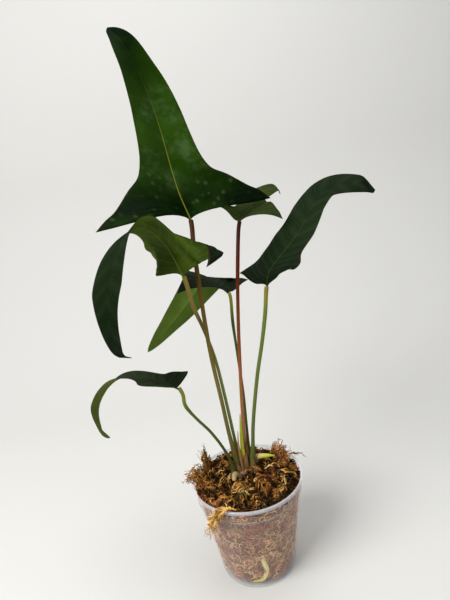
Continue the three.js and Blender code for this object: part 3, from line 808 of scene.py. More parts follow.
def make_tube(name, path, radii, steps, finish, slot, flatten=1.0):
    """A tube that is closed at both ends. flatten is its depth as a share of its width."""
    centres, _ = even_points(path, steps + 1)
    tangents, sideways = carried_frames(centres, np.cross(centres[1] - centres[0], SIDE_SEED))
    other = np.cross(tangents, sideways)
    shares = np.linspace(0, 1, steps + 1)
    radius = along(curve_through(np.array(radii)[:, None]), shares)[:, 0]
    angles = np.linspace(0, 2 * np.pi, TUBE_SIDES, endpoint=False)
    ring = np.cos(angles)[None, :, None] * sideways[:, None]
    ring = ring + flatten * np.sin(angles)[None, :, None] * other[:, None]
    points = (centres[:, None] + ring * radius[:, None, None]).reshape(-1, 3)
    foot = centres[:1] - tangents[:1] * radius[0] / 2
    tip = centres[-1:] + tangents[-1:] * radius[-1] / 2
    points = np.vstack([points, foot, tip])
    faces = ring_faces(steps + 1, TUBE_SIDES)
    last = steps * TUBE_SIDES
    for j in range(TUBE_SIDES):
        k = (j + 1) % TUBE_SIDES
        faces.append((len(points) - 2, k, j))
        faces.append((len(points) - 1, last + j, last + k))
    spread = np.r_[np.repeat(shares, TUBE_SIDES), 0, 1]
    turns = np.r_[np.tile(angles / (2 * np.pi), steps + 1), 0.5, 0.5]
    uv = np.stack([turns, spread], -1)
    return make_piece(name, points, faces, finish, {"along": spread}, uv)


print("a tube has", TUBE_SIDES, "sides")

# %% [markdown]
# Fresh stalks are waxy and finely streaked along their length. Their colour changes
# on the way up, so each has a ramp of its own. A ramp over height would slide when a
# stalk leans, and so the ramp reads the share of the way instead. The streaks are one
# noise, stretched along the plant's height.

# %% Stalk finish
MOTTLE_SCALE = 260
STREAK_SCALE = 1500
STREAK_STRETCH = (1, 1, 0.06)
DARKER = 0.62


def stalk_finish(name, stops, shine=0.42):
    """stops are (share of the way up, tone)."""
    paint = Paint(name)
    mottle = paint.noise(MOTTLE_SCALE, 3)
    place = (paint.attribute("along") + (mottle - 0.5) * 0.05).clamp()
    tone = paint.node("ShaderNodeValToRGB", {"stops": stops}, [place])
    stretched = paint.node("ShaderNodeMapping", {}, {"Vector": paint.place(), "Scale": STREAK_STRETCH})
    streak = paint.noise(STREAK_SCALE, 2, at=stretched)
    share = streak.ramp(0.5, 0.75) * 0.5 + mottle.ramp(0.55, 0.75) * 0.25
    skin = paint.mix(share, tone, paint.shade(tone, DARKER))
    return paint.finish(
        Base_Color=skin, Roughness=shine, Normal=paint.bump(streak + mottle * 0.5, 0.35, 0.25),
        Specular_IOR_Level=0.0, Coat_Weight=0.12, Coat_Roughness=0.3)


print("streaks are", round(1 / STREAK_STRETCH[2]), "times as long as wide")

# %% [markdown]
# Six stalks leave the crown. Each ends in a joint, a swollen length of 16 mm that
# turns towards its blade's midrib. The joint could be a second piece, but on the
# plant it is one skin, so it is the last part of the same tube, where the radius grows.

# %% Stalks
JOINT_LENGTH = 16
JOINT_STIFFNESS = 5
JOINT_OVERLAP = 0.5
FOOT_SWELL = 1.25
JOINT_SWELL = 1.05
STALK_STEPS = 90
STALK_TONES = {
    "tall": [(0.0, (108, 100, 52)), (0.12, (104, 98, 48)), (0.45, (118, 106, 52)),
             (0.75, (94, 74, 30)), (0.92, (72, 44, 14)), (1.0, (60, 30, 9))],
    "young": [(0.0, (150, 114, 70)), (0.2, (170, 120, 74)), (0.45, (146, 84, 46)),
              (0.7, (116, 54, 28)), (0.9, (74, 28, 15)), (1.0, (50, 18, 10))],
    "right": [(0.0, (112, 100, 56)), (0.08, (94, 98, 48)), (0.4, (96, 110, 54)),
              (0.88, (104, 118, 56)), (0.95, (134, 130, 54)), (1.0, (126, 112, 48))],
    "left": [(0.0, (112, 116, 62)), (0.4, (118, 134, 70)), (0.75, (116, 108, 54)),
             (0.9, (138, 120, 58)), (1.0, (140, 124, 56))],
    "behind": [(0.0, (78, 82, 40)), (0.4, (66, 78, 38)), (0.85, (72, 90, 38)),
               (0.93, (136, 138, 50)), (1.0, (142, 144, 54))],
    "low": [(0.0, (66, 72, 34)), (0.4, (78, 90, 40)), (0.82, (92, 108, 44)),
            (0.92, (136, 138, 54)), (1.0, (136, 138, 56))],
}


def stalk_path(leaf):
    """The stalk's points, then its joint, which turns towards the midrib."""
    _, centres, tangents, _, _ = blade_frames(leaf)
    base = centres[0]
    rising = unit(base - np.asarray(leaf["petiole"][-1], float))
    heading = unit(JOINT_STIFFNESS * rising + tangents[0])
    return [*leaf["petiole"], base - heading * JOINT_LENGTH / 2, base + heading * JOINT_OVERLAP]


for name, leaf in LEAVES.items():
    foot, middle, joint = leaf["radius"]
    radii = [foot * FOOT_SWELL, foot, middle * 1.05, *[middle] * 6, joint, joint, joint * JOINT_SWELL]
    finish = stalk_finish("stalk " + name, STALK_TONES[name])
    stalk = make_tube("stalk_" + name, stalk_path(leaf), radii, STALK_STEPS, finish, "petiole")
    seat(stalk, "petiole_" + name)

# %% [markdown]
# Small things grow between the stalks: a yellow-green shoot, a papery sheath, a pale
# aerial root that points right, a cream root end, and a long root that comes down
# through the moss and shows behind the clear wall. Each is thin and round or nearly
# so, and the stalks' tube and finish make them all.

# %% Shoot, sheath and roots
SPROUT_STEPS = 60
SPROUTS = {
    "new_shoot": dict(
        path=[(-1, 8, 105), (0, 8, 120), (-1, 8, 136), (0, 8, 152), (2, 8, 176)],
        radii=[2, 2, 1.8, 1.4, 0.5], slot="petiole", flatten=0.8,
        stops=[(0.0, (190, 170, 80)), (0.3, (206, 206, 66)), (0.7, (160, 178, 52)),
               (1.0, (170, 168, 76))],
    ),
    "dry_sheath": dict(
        path=[(-3, 3, 105), (-4.5, 3.5, 138), (-3, 4, 159)],
        radii=[1.4, 1.3, 0.4], slot="sheath", flatten=0.7,
        stops=[(0.0, (120, 84, 54)), (0.6, (156, 116, 74)), (1.0, (176, 140, 96))],
    ),
    "aerial_root": dict(
        path=[(11, 15, 107), (11.5, 15, 114), (14, 13, 119), (20, 10.5, 121), (27, 9, 121.2),
              (33, 8, 121)],
        radii=[2.4, 2.7, 3, 2.6, 1.8, 0.5], slot="root", flatten=1.0,
        stops=[(0.0, (150, 120, 70)), (0.5, (206, 190, 124)), (0.75, (186, 190, 70)),
               (1.0, (160, 176, 36))],
    ),
    "root_stub": dict(
        path=[(-5, -3, 104), (-10, -4.5, 112), (-13, -6.5, 114.5), (-14.2, -9.5, 110)],
        radii=[2.2, 2.7, 2.9, 2.3], slot="root", flatten=1.0,
        stops=[(0.0, (90, 64, 36)), (0.5, (130, 106, 66)), (1.0, (190, 172, 120))],
    ),
    "wall_root": dict(
        path=[(3, 6, 88), (4, -8, 76), (5, -24, 62), (4, -36, 48), (4, -41, 34), (6, -39, 20),
              (1, -37.5, 8), (-9, -36, 5)],
        radii=[2.6, 2.8, 2.8, 2.8, 2.8, 2.7, 2.4, 1.2], slot="root", flatten=1.0,
        stops=[(0.0, (150, 130, 84)), (0.25, (236, 222, 164)), (0.85, (240, 224, 150)),
               (1.0, (206, 204, 56))],
    ),
}
for name, sprout in SPROUTS.items():
    finish = stalk_finish(name.replace("_", " "), sprout["stops"], shine=0.5)
    shape = (sprout["path"], sprout["radii"], SPROUT_STEPS)
    seat(make_tube("fine_" + name, *shape, finish, sprout["slot"], sprout["flatten"]), name)

# %% [markdown]
# Old leaves leave papery scraps round the crown, brown and thin. A cloth would have
# to be given a thickness and draped. Each scrap is a flat, tapering tube instead,
# which keeps a sheet closed all round and still looks like paper.

# %% Papery scraps
SCRAP_STEPS = 24
SCRAP_TONES = [(0.0, (58, 42, 24)), (0.35, (112, 84, 48)), (0.7, (136, 100, 66)), (1.0, (96, 64, 36))]
# Path, radii, and depth as a share of width
SCRAPS = {
    "scrap_young": ([(2, 10.5, 106), (2.6, 11, 118), (3.4, 11.5, 130), (4.4, 11.5, 142)],
                    [3.4, 3.2, 2.4, 0.3], 0.2),
    "scrap_tall": ([(-6.5, 3, 104), (-7.5, 2.6, 113), (-9, 2.4, 123)], [3, 2.4, 0.3], 0.25),
    "scrap_crown": ([(0, 5, 104), (0, 5, 114), (1, 5.5, 124), (3, 6, 132)], [4.4, 3.8, 2.6, 0.3], 0.4),
    "scrap_right": ([(7.5, 5.5, 104), (8.2, 5.2, 114), (9.5, 5, 125)], [2.6, 2, 0.3], 0.25),
}
paper = stalk_finish("papery scraps", SCRAP_TONES)
for name, (path, radii, flatten) in SCRAPS.items():
    seat(make_tube(name, path, radii, SCRAP_STEPS, paper, "sheath", flatten), "dry_sheath")

# %% [markdown]
# The stem is a short woody crown, almost all of it under the moss. A sculpted trunk
# would be lost there, so a profile is turned round an axis as on a lathe, and a
# little noise on its radius takes the roundness away.

# %% Stem
STEM_CENTRE = (-2, 9)
STEM_PROFILE = [(0, 78.5), (5, 80), (9, 88), (13, 97), (13.5, 103), (10, 109), (6, 112.5), (0, 114)]
STEM_SIDES = 32
STEM_SWELL = 0.05
BARK_SCALE = 300
BARK_TONES = ((84, 56, 34), (150, 112, 78))


def turned_mesh(profile, sides):
    """A profile of (radius, height) turned round the axis."""
    profile = np.asarray(profile, float)
    angles = np.linspace(0, 2 * np.pi, sides, endpoint=False)
    radius = profile[:, 0][:, None]
    height = profile[:, 1][:, None] + 0 * angles
    points = np.stack([radius * np.cos(angles), radius * np.sin(angles), height], -1)
    return points.reshape(-1, 3), ring_faces(len(profile), sides)


def stem_finish():
    paint = Paint("stem bark")
    grain = paint.noise(BARK_SCALE, 4, roughness=0.65)
    skin = paint.mix(grain.ramp(0.35, 0.65), *BARK_TONES)
    return paint.finish(Base_Color=skin, Roughness=0.8, Normal=paint.bump(grain, 0.8, 0.8))


def make_stem():
    profile = curve_through(STEM_PROFILE, 5)
    profile[:, 0] = np.clip(profile[:, 0], 0, None)
    points, faces = turned_mesh(profile, STEM_SIDES)
    for point in points:
        swell = 1 + STEM_SWELL * noise.noise(Vector(point) * 0.3)
        point[:2] = point[:2] * swell + STEM_CENTRE
    piece = make_piece("fine_stem", points, faces, stem_finish())
    merge_close(piece.data)
    seat(piece, "stem")


make_stem()

# %% [markdown]
# The moss is a mounded filling under a tangle of strands. The filling alone would look like clay, and
# strands alone would need far too many. So the filling is rough, its top is near black as painted shade in
# the gaps between the strands, and some thousands of curly strands lie over it and behind the clear wall.
#
# The filling is rings again: up the inside of the pot, a little off the plastic so
# that strands fit between, then inwards over the mound.

# %% Moss filling
MOSS_EDGE_LEVEL = 103.5
MOSS_MOUND = 6.5
MOSS_LUMP = 1.6
COLLAR_RADIUS = 58.4
WALL = 1.2
FLOOR_GAP = 1.2
POT_INSIDE = [(38.3, 1.2), (40.3, 3.8), (54.2, 92), (55.8, 93.6), (57.2, 104.4), (57.6, 108)]
WALL_RECESS = 4.2
FILLING_FOOT = [(31, WALL + FLOOR_GAP), (34.5, 4), (37.5, 9)]
FILLING_SIDES = 160
FILLING_RINGS = 40
FILLING_SINK = 1.8
# The top's tones, near black as painted shade between the strands, the painted shade of its hollows, and
# the tones behind the clear wall
GAP_SHADE_TONES = ((12, 6, 2), (70, 40, 14))
HOLLOW_SHADE_TONE = (10, 6, 3)
SIDE_TONES = ((88, 50, 28), (204, 144, 96))


def moss_level(x, y):
    """The mound's height, as in the construction model."""
    share = min(math.hypot(x, y) / COLLAR_RADIUS, 1)
    lumps = math.sin(x / 5 + 1) * math.cos(y / 6) + 0.6 * math.sin(x / 2.9 - y / 3.7)
    return MOSS_EDGE_LEVEL + MOSS_MOUND * (1 - share**2) + MOSS_LUMP * lumps


def wall_radius(z):
    radii, heights = zip(*POT_INSIDE)
    return float(np.interp(z, heights, radii))


def filling_finish():
    paint = Paint("moss filling")
    fleck = paint.noise(420, 4, roughness=0.7)
    # The top is near black and darker still in spots, as painted shade in the gaps and hollows under the
    # strands.
    skin = paint.mix(fleck.ramp(0.4, 0.7), *GAP_SHADE_TONES)
    skin = paint.mix(paint.noise(90, 2).ramp(0.45, 0.7) * 0.5, skin, HOLLOW_SHADE_TONE)
    side = paint.mix(fleck.ramp(0.35, 0.65), *SIDE_TONES)
    skin = paint.mix(paint.height().ramp(97, 101), side, skin)
    return paint.finish(Base_Color=skin, Roughness=0.95, Normal=paint.bump(fleck, 1.0, 1.5),
                        Specular_IOR_Level=0.08)


def make_filling():
    rings = [(0, WALL + FLOOR_GAP), *FILLING_FOOT]
    rings += [(radius - WALL_RECESS, z) for radius, z in POT_INSIDE[2:4]]
    points, _ = turned_mesh(rings, FILLING_SIDES)
    top = []
    rim = wall_radius(MOSS_EDGE_LEVEL) - FLOOR_GAP
    for share in np.linspace(1, 0, FILLING_RINGS):
        for x, y, _ in turned_mesh([(rim * share, 0)], FILLING_SIDES)[0]:
            rough = 1.6 * noise.noise(Vector((x, y, 0)) * 0.35) - FILLING_SINK
            top.append((x, y, moss_level(x, y) + rough))
    faces = ring_faces(len(rings) + FILLING_RINGS, FILLING_SIDES)
    piece = make_piece("moss_filling", np.vstack([points, top]), faces, filling_finish())
    merge_close(piece.data)
    seat(piece, "moss")


make_filling()

# %% [markdown]
# Dry sphagnum is tan and cream, and red-brown where it lay damp. Deep in the tangle and in its hollows it
# is painted nearly black, as shade, and the cream is partly its own pale colour and partly a painted
# highlight on clump tops. Every strand carries two numbers, a tint and a share of rust, and one finish
# turns them into a tone; the tint holds that painted shade and highlight too. The top, the tufts and the
# strands behind the wall differ in light, so each gets its own four tones, and shaded patches are painted
# darker.

# %% Moss finish
FLECK_SCALE = 700
PATCH_SCALE = 100


def moss_finish(name, dark, light, cream_and_highlight, rusty, shade):
    """shade is how bright the strands are in the shaded patches."""
    paint = Paint(name)
    tint = paint.attribute("tint")
    fleck = paint.noise(FLECK_SCALE, 2)
    # A low tint gives the dark tone, painted shade for deep strands, and a high one the light tone and
    # then cream, partly a painted highlight.
    tone = paint.mix((tint + (fleck - 0.5) * 0.35).ramp(0.12, 0.75), dark, light)
    tone = paint.mix(tint.ramp(0.65, 1.05), tone, cream_and_highlight)
    tone = paint.mix(paint.attribute("rust") * 0.75, tone, rusty)
    patch = paint.noise(PATCH_SCALE, 3).ramp(0.42, 0.56)
    skin = paint.mix(patch, paint.shade(tone, shade), tone)
    return paint.finish(Base_Color=skin, Roughness=0.85, Normal=paint.bump(fleck, 0.5, 0.4),
                        Specular_IOR_Level=0.08)


TOP_MOSS = moss_finish("moss top", (24, 12, 4), (216, 152, 70), (255, 230, 160), (158, 90, 50), 0.15)
TUFT_MOSS = moss_finish("moss tufts", (84, 52, 18), (216, 154, 68), (250, 214, 138), (186, 112, 76), 0.6)
WALL_MOSS = moss_finish("moss wall", (164, 100, 58), (255, 204, 146), (255, 232, 184), (176, 86, 58), 0.72)
print("moss finishes:", TOP_MOSS.name, TUFT_MOSS.name, WALL_MOSS.name)

# %% [markdown]
# A strand is drawn in two steps. Python draws its guide, a short list of points, and
# a Geometry Nodes tree turns every guide into a thin tapered thread with tiny leaves.
# Hair curves would be quicker, but they aren't faces and can't be exported.
# On the mound a guide starts just under the surface, wanders in a random curl and sinks again. The lumps
# and hollows of the tangle come from two noises, a broad one and a small one. Every guide also has a
# thickness, a tint and a share of rust. The tint holds painted light as well: strands low in the tangle
# are darker, as painted shade, and strands on high clumps are lighter, as a painted highlight. The lumps
# and hollows of the tangle come from two noises, a broad one
# and a small one. Every guide also has a thickness, a tint and a share of rust.

# %% Guides on the mound
GUIDE_SEED = 11
COVER_COUNT = 2100
COVER_RADIUS = 54.8
COVER_POINTS = 8
BROAD_CLUMP = 8.5
SMALL_CLUMP = 4.5
DEEPEST_HOLLOW = -3.5
COVER_SINK = 1.2
# Places and radii of a light cluster, and of a hollow beside the crown whose strands are painted dark as
# shade
LIGHT_CLUSTER = (5, 3, 8)
SHADED_HOLLOW = (-7, -9, 6)
draw = random.Random(GUIDE_SEED)
# The vector noise that curls the tufts would else take its seed from the clock
noise.seed_set(GUIDE_SEED)


def polar(radius, degrees, z):
    angle = math.radians(degrees)
    return np.array([radius * math.cos(angle), radius * math.sin(angle), z])


def clump(x, y):
    """How far the tangle stands over the mound, less so near the rim."""
    broad = noise.noise(Vector((x, y, 0)) * 0.07)
    small = noise.noise(Vector((x, y, 40)) * 0.19)
    inside = 1 - 0.6 * (math.hypot(x, y) / COVER_RADIUS) ** 4
    return (BROAD_CLUMP * broad + SMALL_CLUMP * small) * inside


def is_in(place, spot):
    return math.hypot(place[0] - spot[0], place[1] - spot[1]) < spot[2]


def cover_guide():
    """A curl on the mound, kept inside the rim."""
    place = polar(COVER_RADIUS * math.sqrt(draw.random()), draw.uniform(0, 360), 0)
    heading = draw.uniform(0, 360)
    turn = draw.uniform(-75, 75)
    step = draw.uniform(1.5, 3.0)
    level = draw.uniform(0.1, 1.0)
    lift = draw.choice((1.5, 2.5, 4.0)) * draw.random()
    points = []
    for i in range(COVER_POINTS):
        x, y, _ = place
        if math.hypot(x, y) > COVER_RADIUS:
            heading = math.degrees(math.atan2(-y, -x)) + draw.uniform(-60, 60)
        rise = max(clump(x, y), DEEPEST_HOLLOW) * (0.35 + 0.65 * level)
        arch = lift * math.sin(math.pi * (i + 0.4) / COVER_POINTS)
        z = moss_level(x, y) - COVER_SINK + rise + arch + draw.uniform(-0.5, 0.5)
        points.append(np.array([x, y, z]))
        heading += turn + draw.uniform(-35, 35)
        place = place + polar(step, heading, 0)
    # The tint is lower for strands low in the tangle, as painted shade, and higher on tall clumps, as a
    # painted highlight.
    tint = (0.2 + 0.8 * level) * draw.random() + 0.06 * max(0.0, rise)
    middle = points[COVER_POINTS // 2]
    if is_in(middle, LIGHT_CLUSTER):
        tint = 0.5 + tint / 2
    # Strands in the hollow are darkened, as painted shade.
    if is_in(middle, SHADED_HOLLOW):
        tint = tint * 0.2
    rust = max(0.0, noise.noise(Vector((middle[0], middle[1], 90)) * 0.05) * 1.3)
    thread = draw.choice((0.32, 0.5, 0.75, 0.95)) * draw.uniform(0.8, 1.1)
    return points, thread, tint, rust


cover_guides = [cover_guide() for _ in range(COVER_COUNT)]
print("strands on top:", len(cover_guides))

# %% [markdown]
# Tufts leave the pot where the photograph shows them: over the lip on the left and at
# the front, and standing up at the back. Strands drawn at random never gather like
# that, so all the strands of a tuft follow one shared path. Each strays from it more
# towards its end, and a noise and small kinks curl it.

# %% Guides in the tufts
# at, spread and sway are degrees round the pot, stray and curl are millimetres, and
# path is distances from the axis with heights
TUFTS = [
    dict(at=172, spread=24, sway=4, stray=6, curl=6, count=56, rust=0.0, tint=0.5,
         path=[(45, 101), (51, 108), (57, 113), (62, 113), (67, 111)]),
    dict(at=151, spread=12, sway=-2, stray=5, curl=6, count=34, rust=0.0, tint=0.5,
         path=[(46, 101), (49, 110), (51, 118), (53, 127)]),
    dict(at=150, spread=1, sway=-2, stray=2, curl=4, count=3, rust=0.0, tint=0.6,
         path=[(48, 108), (51, 120), (52, 130), (53, 137)]),
    dict(at=22, spread=30, sway=6, stray=6, curl=7, count=100, rust=0.55, tint=0.55,
         path=[(40, 103), (44, 110), (47, 115), (50, 120)]),
    dict(at=26, spread=1, sway=-16, stray=1, curl=3, count=3, rust=0.4, tint=0.1,
         path=[(48, 102), (56, 112), (62, 112), (68, 111), (74, 109)]),
    dict(at=252, spread=8, sway=-36, stray=2, curl=7, count=22, rust=0.0, tint=0.85,
         path=[(50, 102), (56, 110), (61, 111), (63, 104), (63, 94), (62.5, 85), (63, 76), (64, 68)]),
]
TUFT_KINK = 1.3
TUFT_POINTS = 16
CURL_SCALE = 0.2
CURL_START = 5


def tuft_guides(tuft):
    """Strands along one path, each of its own length."""
    guides = []
    stray = tuft["stray"]
    for i in range(tuft["count"]):
        start = tuft["at"] + tuft["spread"] * ((i + 0.5) / tuft["count"] - 0.5)
        aside = polar(stray * draw.random(), draw.uniform(0, 360), stray * draw.random() * 0.4)
        path = []
        for step, (radius, z) in enumerate(tuft["path"]):
            share = step / (len(tuft["path"]) - 1)
            path.append(polar(radius, start + tuft["sway"] * share, z) + aside * share**2)
        points = even_points(path, TUFT_POINTS)[0][: round(TUFT_POINTS * draw.uniform(0.5, 1.0))]
        for step, point in enumerate(points):
            curl = noise.noise_vector(Vector(point) * CURL_SCALE + Vector((0, 0, 3.7 * i)))
            kink = [draw.uniform(-TUFT_KINK, TUFT_KINK) for _ in range(3)]
            points[step] = point + (np.array(curl) * tuft["curl"] + kink) * min(1, step / CURL_START)
        tint = min(1.0, max(0.0, tuft["tint"] + draw.uniform(-0.5, 0.4)))
        thread = draw.uniform(0.25, 0.55)
        guides.append((list(points), thread, tint, tuft["rust"] * draw.uniform(0.5, 1.3)))
    return guides


hanging_guides = [guide for tuft in TUFTS for guide in tuft_guides(tuft)]
print("strands in tufts:", len(hanging_guides))

# %% [markdown]
# Through the clear wall the moss shows as a mat of fine pale strands pressed flat. A
# picture on the filling would look printed, and it would lie behind the plastic
# without depth. So these guides wander round the inside of the wall, a little behind
# it, and those that would cross the long root are left out.

# %% Guides behind the wall
WALL_COUNT = 3500
WALL_POINTS = 7
WALL_SPAN = (6.5, 104)
WALL_ROOT = even_points(SPROUTS["wall_root"]["path"], 60)[0]
ROOT_CLEARANCE = 3.1


def wall_guide():
    """A curl that lies behind the clear wall, or None where it meets the long root."""
    angle = draw.uniform(0, 360)
    z = 7 + 96 * draw.random() ** 0.95
    heading = draw.uniform(0, 2 * math.pi)
    turn = draw.uniform(-1.1, 1.1)
    depth = 0.6 + 2.6 * draw.random() ** 1.5
    step = draw.uniform(1.2, 2.4)
    points = []
    for i in range(WALL_POINTS):
        z = min(max(z, WALL_SPAN[0]), WALL_SPAN[1])
        radius = wall_radius(z) - depth - 0.4 * math.sin(i)
        points.append(polar(radius, angle, z))
        heading += turn + draw.uniform(-0.6, 0.6)
        angle += math.degrees(step * math.cos(heading) / radius)
        z += step * math.sin(heading)
    nearest = min(np.linalg.norm(WALL_ROOT - point, axis=1).min() for point in points)
    if nearest < ROOT_CLEARANCE:
        return None
    # Strands further behind the clear wall get a lower tint, as painted shade.
    tint = draw.uniform(0.1, 1.05) * (1.15 - 0.25 * depth)
    rust = max(0.0, noise.noise(Vector(points[WALL_POINTS // 2]) * 0.055) * 1.7)
    return points, draw.uniform(0.2, 0.5), max(0.0, tint), rust


wall_guides = [guide for guide in (wall_guide() for _ in range(WALL_COUNT)) if guide]
print("strands behind the wall:", len(wall_guides))

# %% [markdown]
# The Geometry Nodes tree takes the guide edges, turns them into smooth curves, gives
# each a three-sided section that tapers at the ends, and sets tiny scale leaves along
# it, as on real sphagnum. Its named inputs set how many steps and leaves a strand
# has. Python could build the same faces, but a loop over a hundred thousand leaves is
# slow. Realize Instances turns the copies into real faces at the end.

# %% Geometry Nodes tree for moss strands
STRAND_INPUTS = {
    "Guides": "Geometry", "Steps": "Int", "Leaves": "Int", "Leaf size": "Float",
    "Seed": "Int", "Material": "Material",
}
THINNEST = 0.35
LEAF_WIDTH = 0.42
LEAN_LEAST = (-0.9, -1.3, 0.0)
LEAN_MOST = (0.9, -0.2, 6.283)


def strand_tree():
    """Guide edges in, tapered threads with leaflets out."""
    graph = Graph(bpy.data.node_groups.new("moss strands", "GeometryNodeTree"))
    interface = graph.tree.interface
    interface.new_socket("Geometry", in_out="OUTPUT", socket_type="NodeSocketGeometry")
    for name, kind in STRAND_INPUTS.items():
        interface.new_socket(name, in_out="INPUT", socket_type="NodeSocket" + kind)
    start = graph.node("NodeGroupInput")
    given = {name: start.beside(name) for name in STRAND_INPUTS}

    curve = graph.node("GeometryNodeMeshToCurve", {}, {"Mesh": given["Guides"]})
    curve = graph.node("GeometryNodeResampleCurve", {}, {"Curve": curve, "Count": given["Steps"]})
    way = graph.node("GeometryNodeSplineParameter", output="Factor")
    taper = 1 - ((way - 0.45) * 1.7).math("ABSOLUTE").math("POWER", 3.0)
    thread = graph.node("GeometryNodeInputNamedAttribute", {"data_type": "FLOAT"}, {"Name": "thread"})
    radius = thread * taper.math("MAXIMUM", THINNEST)
    section = graph.node("GeometryNodeCurvePrimitiveCircle", {}, {"Resolution": 3, "Radius": 1.0})
    threads = graph.node("GeometryNodeCurveToMesh", {}, {
        "Curve": curve, "Profile Curve": section, "Scale": radius, "Fill Caps": True})

    points = graph.node("GeometryNodeCurveToPoints", {}, {"Curve": curve, "Count": given["Leaves"]})
    leaf = graph.node("GeometryNodeMeshCircle", {"fill_type": "NGON"}, {"Vertices": 4, "Radius": 0.5})
    leaf = graph.node("GeometryNodeTransform", {}, {
        "Geometry": leaf, "Translation": (0.5, 0, 0), "Scale": (1, LEAF_WIDTH, 1)})
    lean = graph.node("FunctionNodeRandomValue", {"data_type": "FLOAT_VECTOR"}, {
        0: LEAN_LEAST, 1: LEAN_MOST, "Seed": given["Seed"]})
    turned = graph.node("FunctionNodeRotateRotation", {"rotation_space": "LOCAL"}, {
        "Rotation": points.beside("Rotation"), "Rotate By": lean})
    size = graph.node("FunctionNodeRandomValue", {"data_type": "FLOAT"}, {
        "Min": 0.5, "Max": 1.0, "Seed": given["Seed"]}, output=1)
    leaflets = graph.node("GeometryNodeInstanceOnPoints", {}, {
        "Points": points, "Instance": leaf, "Rotation": turned, "Scale": size * given["Leaf size"]})
    leaflets = graph.node("GeometryNodeRealizeInstances", {}, [leaflets])

    joined = graph.node("GeometryNodeJoinGeometry", {}, [leaflets])
    graph.feed(joined.output.node.inputs[0], threads)
    real = graph.node("GeometryNodeRealizeInstances", {}, [joined])
    done = graph.node("GeometryNodeSetMaterial", {}, {"Geometry": real, "Material": given["Material"]})
    graph.feed(graph.tree.nodes.new("NodeGroupOutput").inputs[0], done)
    return graph.tree


STRAND_TREE = strand_tree()
print("nodes in the strand tree:", len(STRAND_TREE.nodes))

# %% [markdown]
# The three kinds of guide go through the same tree with other numbers: coarse strands
# on top, long ones with more and larger leaves in the tufts, and fine ones behind the
# wall. A modifier's input has to be set by its socket's identifier, because its name
# only labels it.

# %% Moss strands
def grow_strands(name, guides, finish, inputs):
    """Makes one mesh of guide edges, runs the tree on it and keeps the plain result."""
    points, edges = [], []
    values = {"thread": [], "tint": [], "rust": []}
    for path, thread, *shades in guides:
        first = len(points)
        points.extend(path)
        edges.extend((first + i, first + i + 1) for i in range(len(path) - 1))
        for key, number in zip(values, (thread * MM, *shades)):
            values[key].extend([number] * len(path))
    guide = place_object("guides", bare_mesh("guides", points, edges=edges, values=values))
    modifier = guide.modifiers.new("strands", "NODES")
    modifier.node_group = STRAND_TREE
    inputs = {"Material": finish, **inputs}
    for item in STRAND_TREE.interface.items_tree:
        if item.in_out == "INPUT" and item.name in inputs:
            modifier[item.identifier] = inputs[item.name]
    mesh = evaluated_mesh(guide)
    mesh.name = name
    mesh.shade_smooth()
    bpy.data.objects.remove(guide)
    seat(place_piece(name, mesh), "moss")


grow_strands("moss_cover", cover_guides, TOP_MOSS,
             {"Steps": 8, "Leaves": 13, "Leaf size": 1.9 * MM, "Seed": 3})
grow_strands("moss_tufts", hanging_guides, TUFT_MOSS,
             {"Steps": 24, "Leaves": 48, "Leaf size": 2.3 * MM, "Seed": 5})
grow_strands("moss_at_wall", wall_guides, WALL_MOSS,
             {"Steps": 7, "Leaves": 7, "Leaf size": 1.9 * MM, "Seed": 8})

# %% [markdown]
# The pot is thin clear plastic. Real refraction would hide the moss in noise, so the
# wall is mostly see-through with a white haze that grows at the lip, the step and the
# rounded foot, where there is more plastic to look through. Layer Weight adds haze
# where the wall is seen at a slant.

# %% Clear plastic
PLASTIC_IOR = 1.49
BASE_ALPHA = 0.02
# Heights in millimetres where the haze of each part begins and ends
LIP_HEIGHTS = (103.8, 104.6)
STEP_HEIGHTS = (90.7, 91.1, 91.7, 92.1)
RING_HEIGHTS = (1.6, 2.0, 2.8, 3.4)
FOOT_HEIGHTS = (1.5, 9)
WALL_TONE = (214, 212, 208)
LIP_TONE = (226, 224, 228)


def clear_plastic():
    paint = Paint("clear plastic")
    height = paint.height()
    haze = paint.noise(45, 3) * 0.03
    lip = height.ramp(*LIP_HEIGHTS)
    step = height.band(*STEP_HEIGHTS)
    ring = height.band(*RING_HEIGHTS)
    foot = 1 - height.ramp(*FOOT_HEIGHTS)
    slant = paint.node("ShaderNodeLayerWeight", {}, {"Blend": 0.25}, output="Facing")
    alpha = BASE_ALPHA + haze + lip * 0.3 + step * 0.5 + foot * 0.14 + ring * 0.25 + slant * 0.2
    tone = paint.mix(lip + foot * 0.5, WALL_TONE, LIP_TONE)
    scuff = paint.noise(300, 3)
    return paint.finish(
        Base_Color=tone, Roughness=0.12 + scuff * 0.12, Alpha=alpha.clamp(),
        IOR=PLASTIC_IOR, Normal=paint.bump(scuff, 0.05, 0.2), Specular_IOR_Level=0.9)


POT_FINISH = clear_plastic()
print("clear wall's alpha starts at", BASE_ALPHA)

# %% [markdown]
# The pot is formed from one sheet, so it has one profile: under the floor, round the
# foot ring, up the wall, over the step and the rolled lip, and down the inside. It is
# turned round the axis, with every corner rounded a little, because sharp corners
# catch no light. Eight drain holes are cut through the floor with a Boolean, which is
# exact here, since each cutter is a plain cylinder.

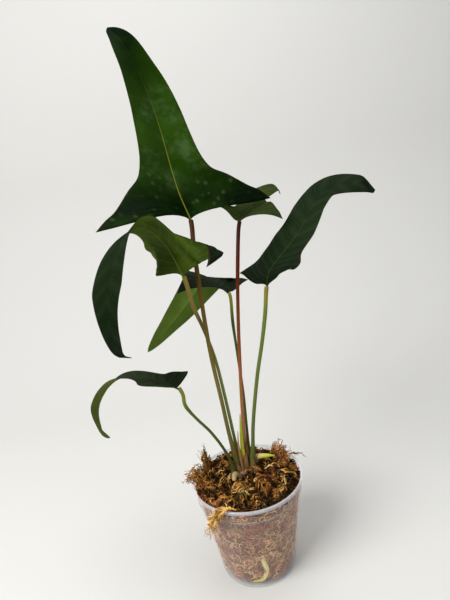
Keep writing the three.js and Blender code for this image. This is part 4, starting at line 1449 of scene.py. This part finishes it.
# %% Pot
POT_OUTSIDE = [
    (0, 1.0), (33.6, 1.0), (34.4, 0.0), (36.0, 0.0), (36.8, 0.7), (37.6, 0.7),
    (38.9, 0), (40.72, 0.78), (41.5, 2.6), (55.4, 91.2), (57, 92), (58.4, 104.4),
    (60, 104.8), (60, 107.2), (59.2, 108), (57.6, 108),
]
FLOOR_TOP = (0, 1.9)
CORNER = 0.7
CORNER_STEPS = 5
CORNER_REACH = 0.45
POT_SIDES = 160
DRAIN_HOLES = 8
DRAIN_RADIUS = 2.1
DRAIN_CIRCLE = 26
DRAIN_SIDES = 16
DRAIN_SPAN = (-3, 6)


def round_corners(profile):
    """Cuts each corner of a profile back and rounds it."""
    profile = np.asarray(profile, float)
    rounded = [profile[0]]
    for before, corner, after in zip(profile, profile[1:], profile[2:]):
        sides = [np.linalg.norm(end - corner) * CORNER_REACH for end in (before, after)]
        first, last = (corner + unit(end - corner) * min(CORNER, *sides) for end in (before, after))
        for share in np.linspace(0, 1, CORNER_STEPS):
            rounded.append((1 - share) ** 2 * first + 2 * share * (1 - share) * corner + share**2 * last)
    rounded.append(profile[-1])
    return rounded


def cut_drains(pot):
    points, faces = [], []
    for i in range(DRAIN_HOLES):
        centre = polar(DRAIN_CIRCLE, 360 * i / DRAIN_HOLES, 0)
        first = len(points)
        for z in DRAIN_SPAN:
            for j in range(DRAIN_SIDES):
                points.append(centre + polar(DRAIN_RADIUS, 360 * j / DRAIN_SIDES, z))
        faces.append(tuple(range(first + DRAIN_SIDES - 1, first - 1, -1)))
        faces.append(tuple(range(first + DRAIN_SIDES, first + 2 * DRAIN_SIDES)))
        faces.extend(ring_faces(2, DRAIN_SIDES, first))
    drains = place_object("drains", bare_mesh("drains", points, faces))
    cut = pot.modifiers.new("drains", "BOOLEAN")
    cut.operation = "DIFFERENCE"
    cut.object = drains
    result = evaluated_mesh(pot)
    pot.modifiers.remove(cut)
    pot.data = result
    bpy.data.objects.remove(drains)


def make_pot():
    inside = [*reversed(POT_INSIDE[:-1]), FLOOR_TOP]
    points, faces = turned_mesh(round_corners(POT_OUTSIDE + inside), POT_SIDES)
    piece = make_piece("clear_pot", points, faces, POT_FINISH)
    merge_close(piece.data)
    cut_drains(piece)
    seat(piece, "pot")


make_pot()

# %% [markdown]
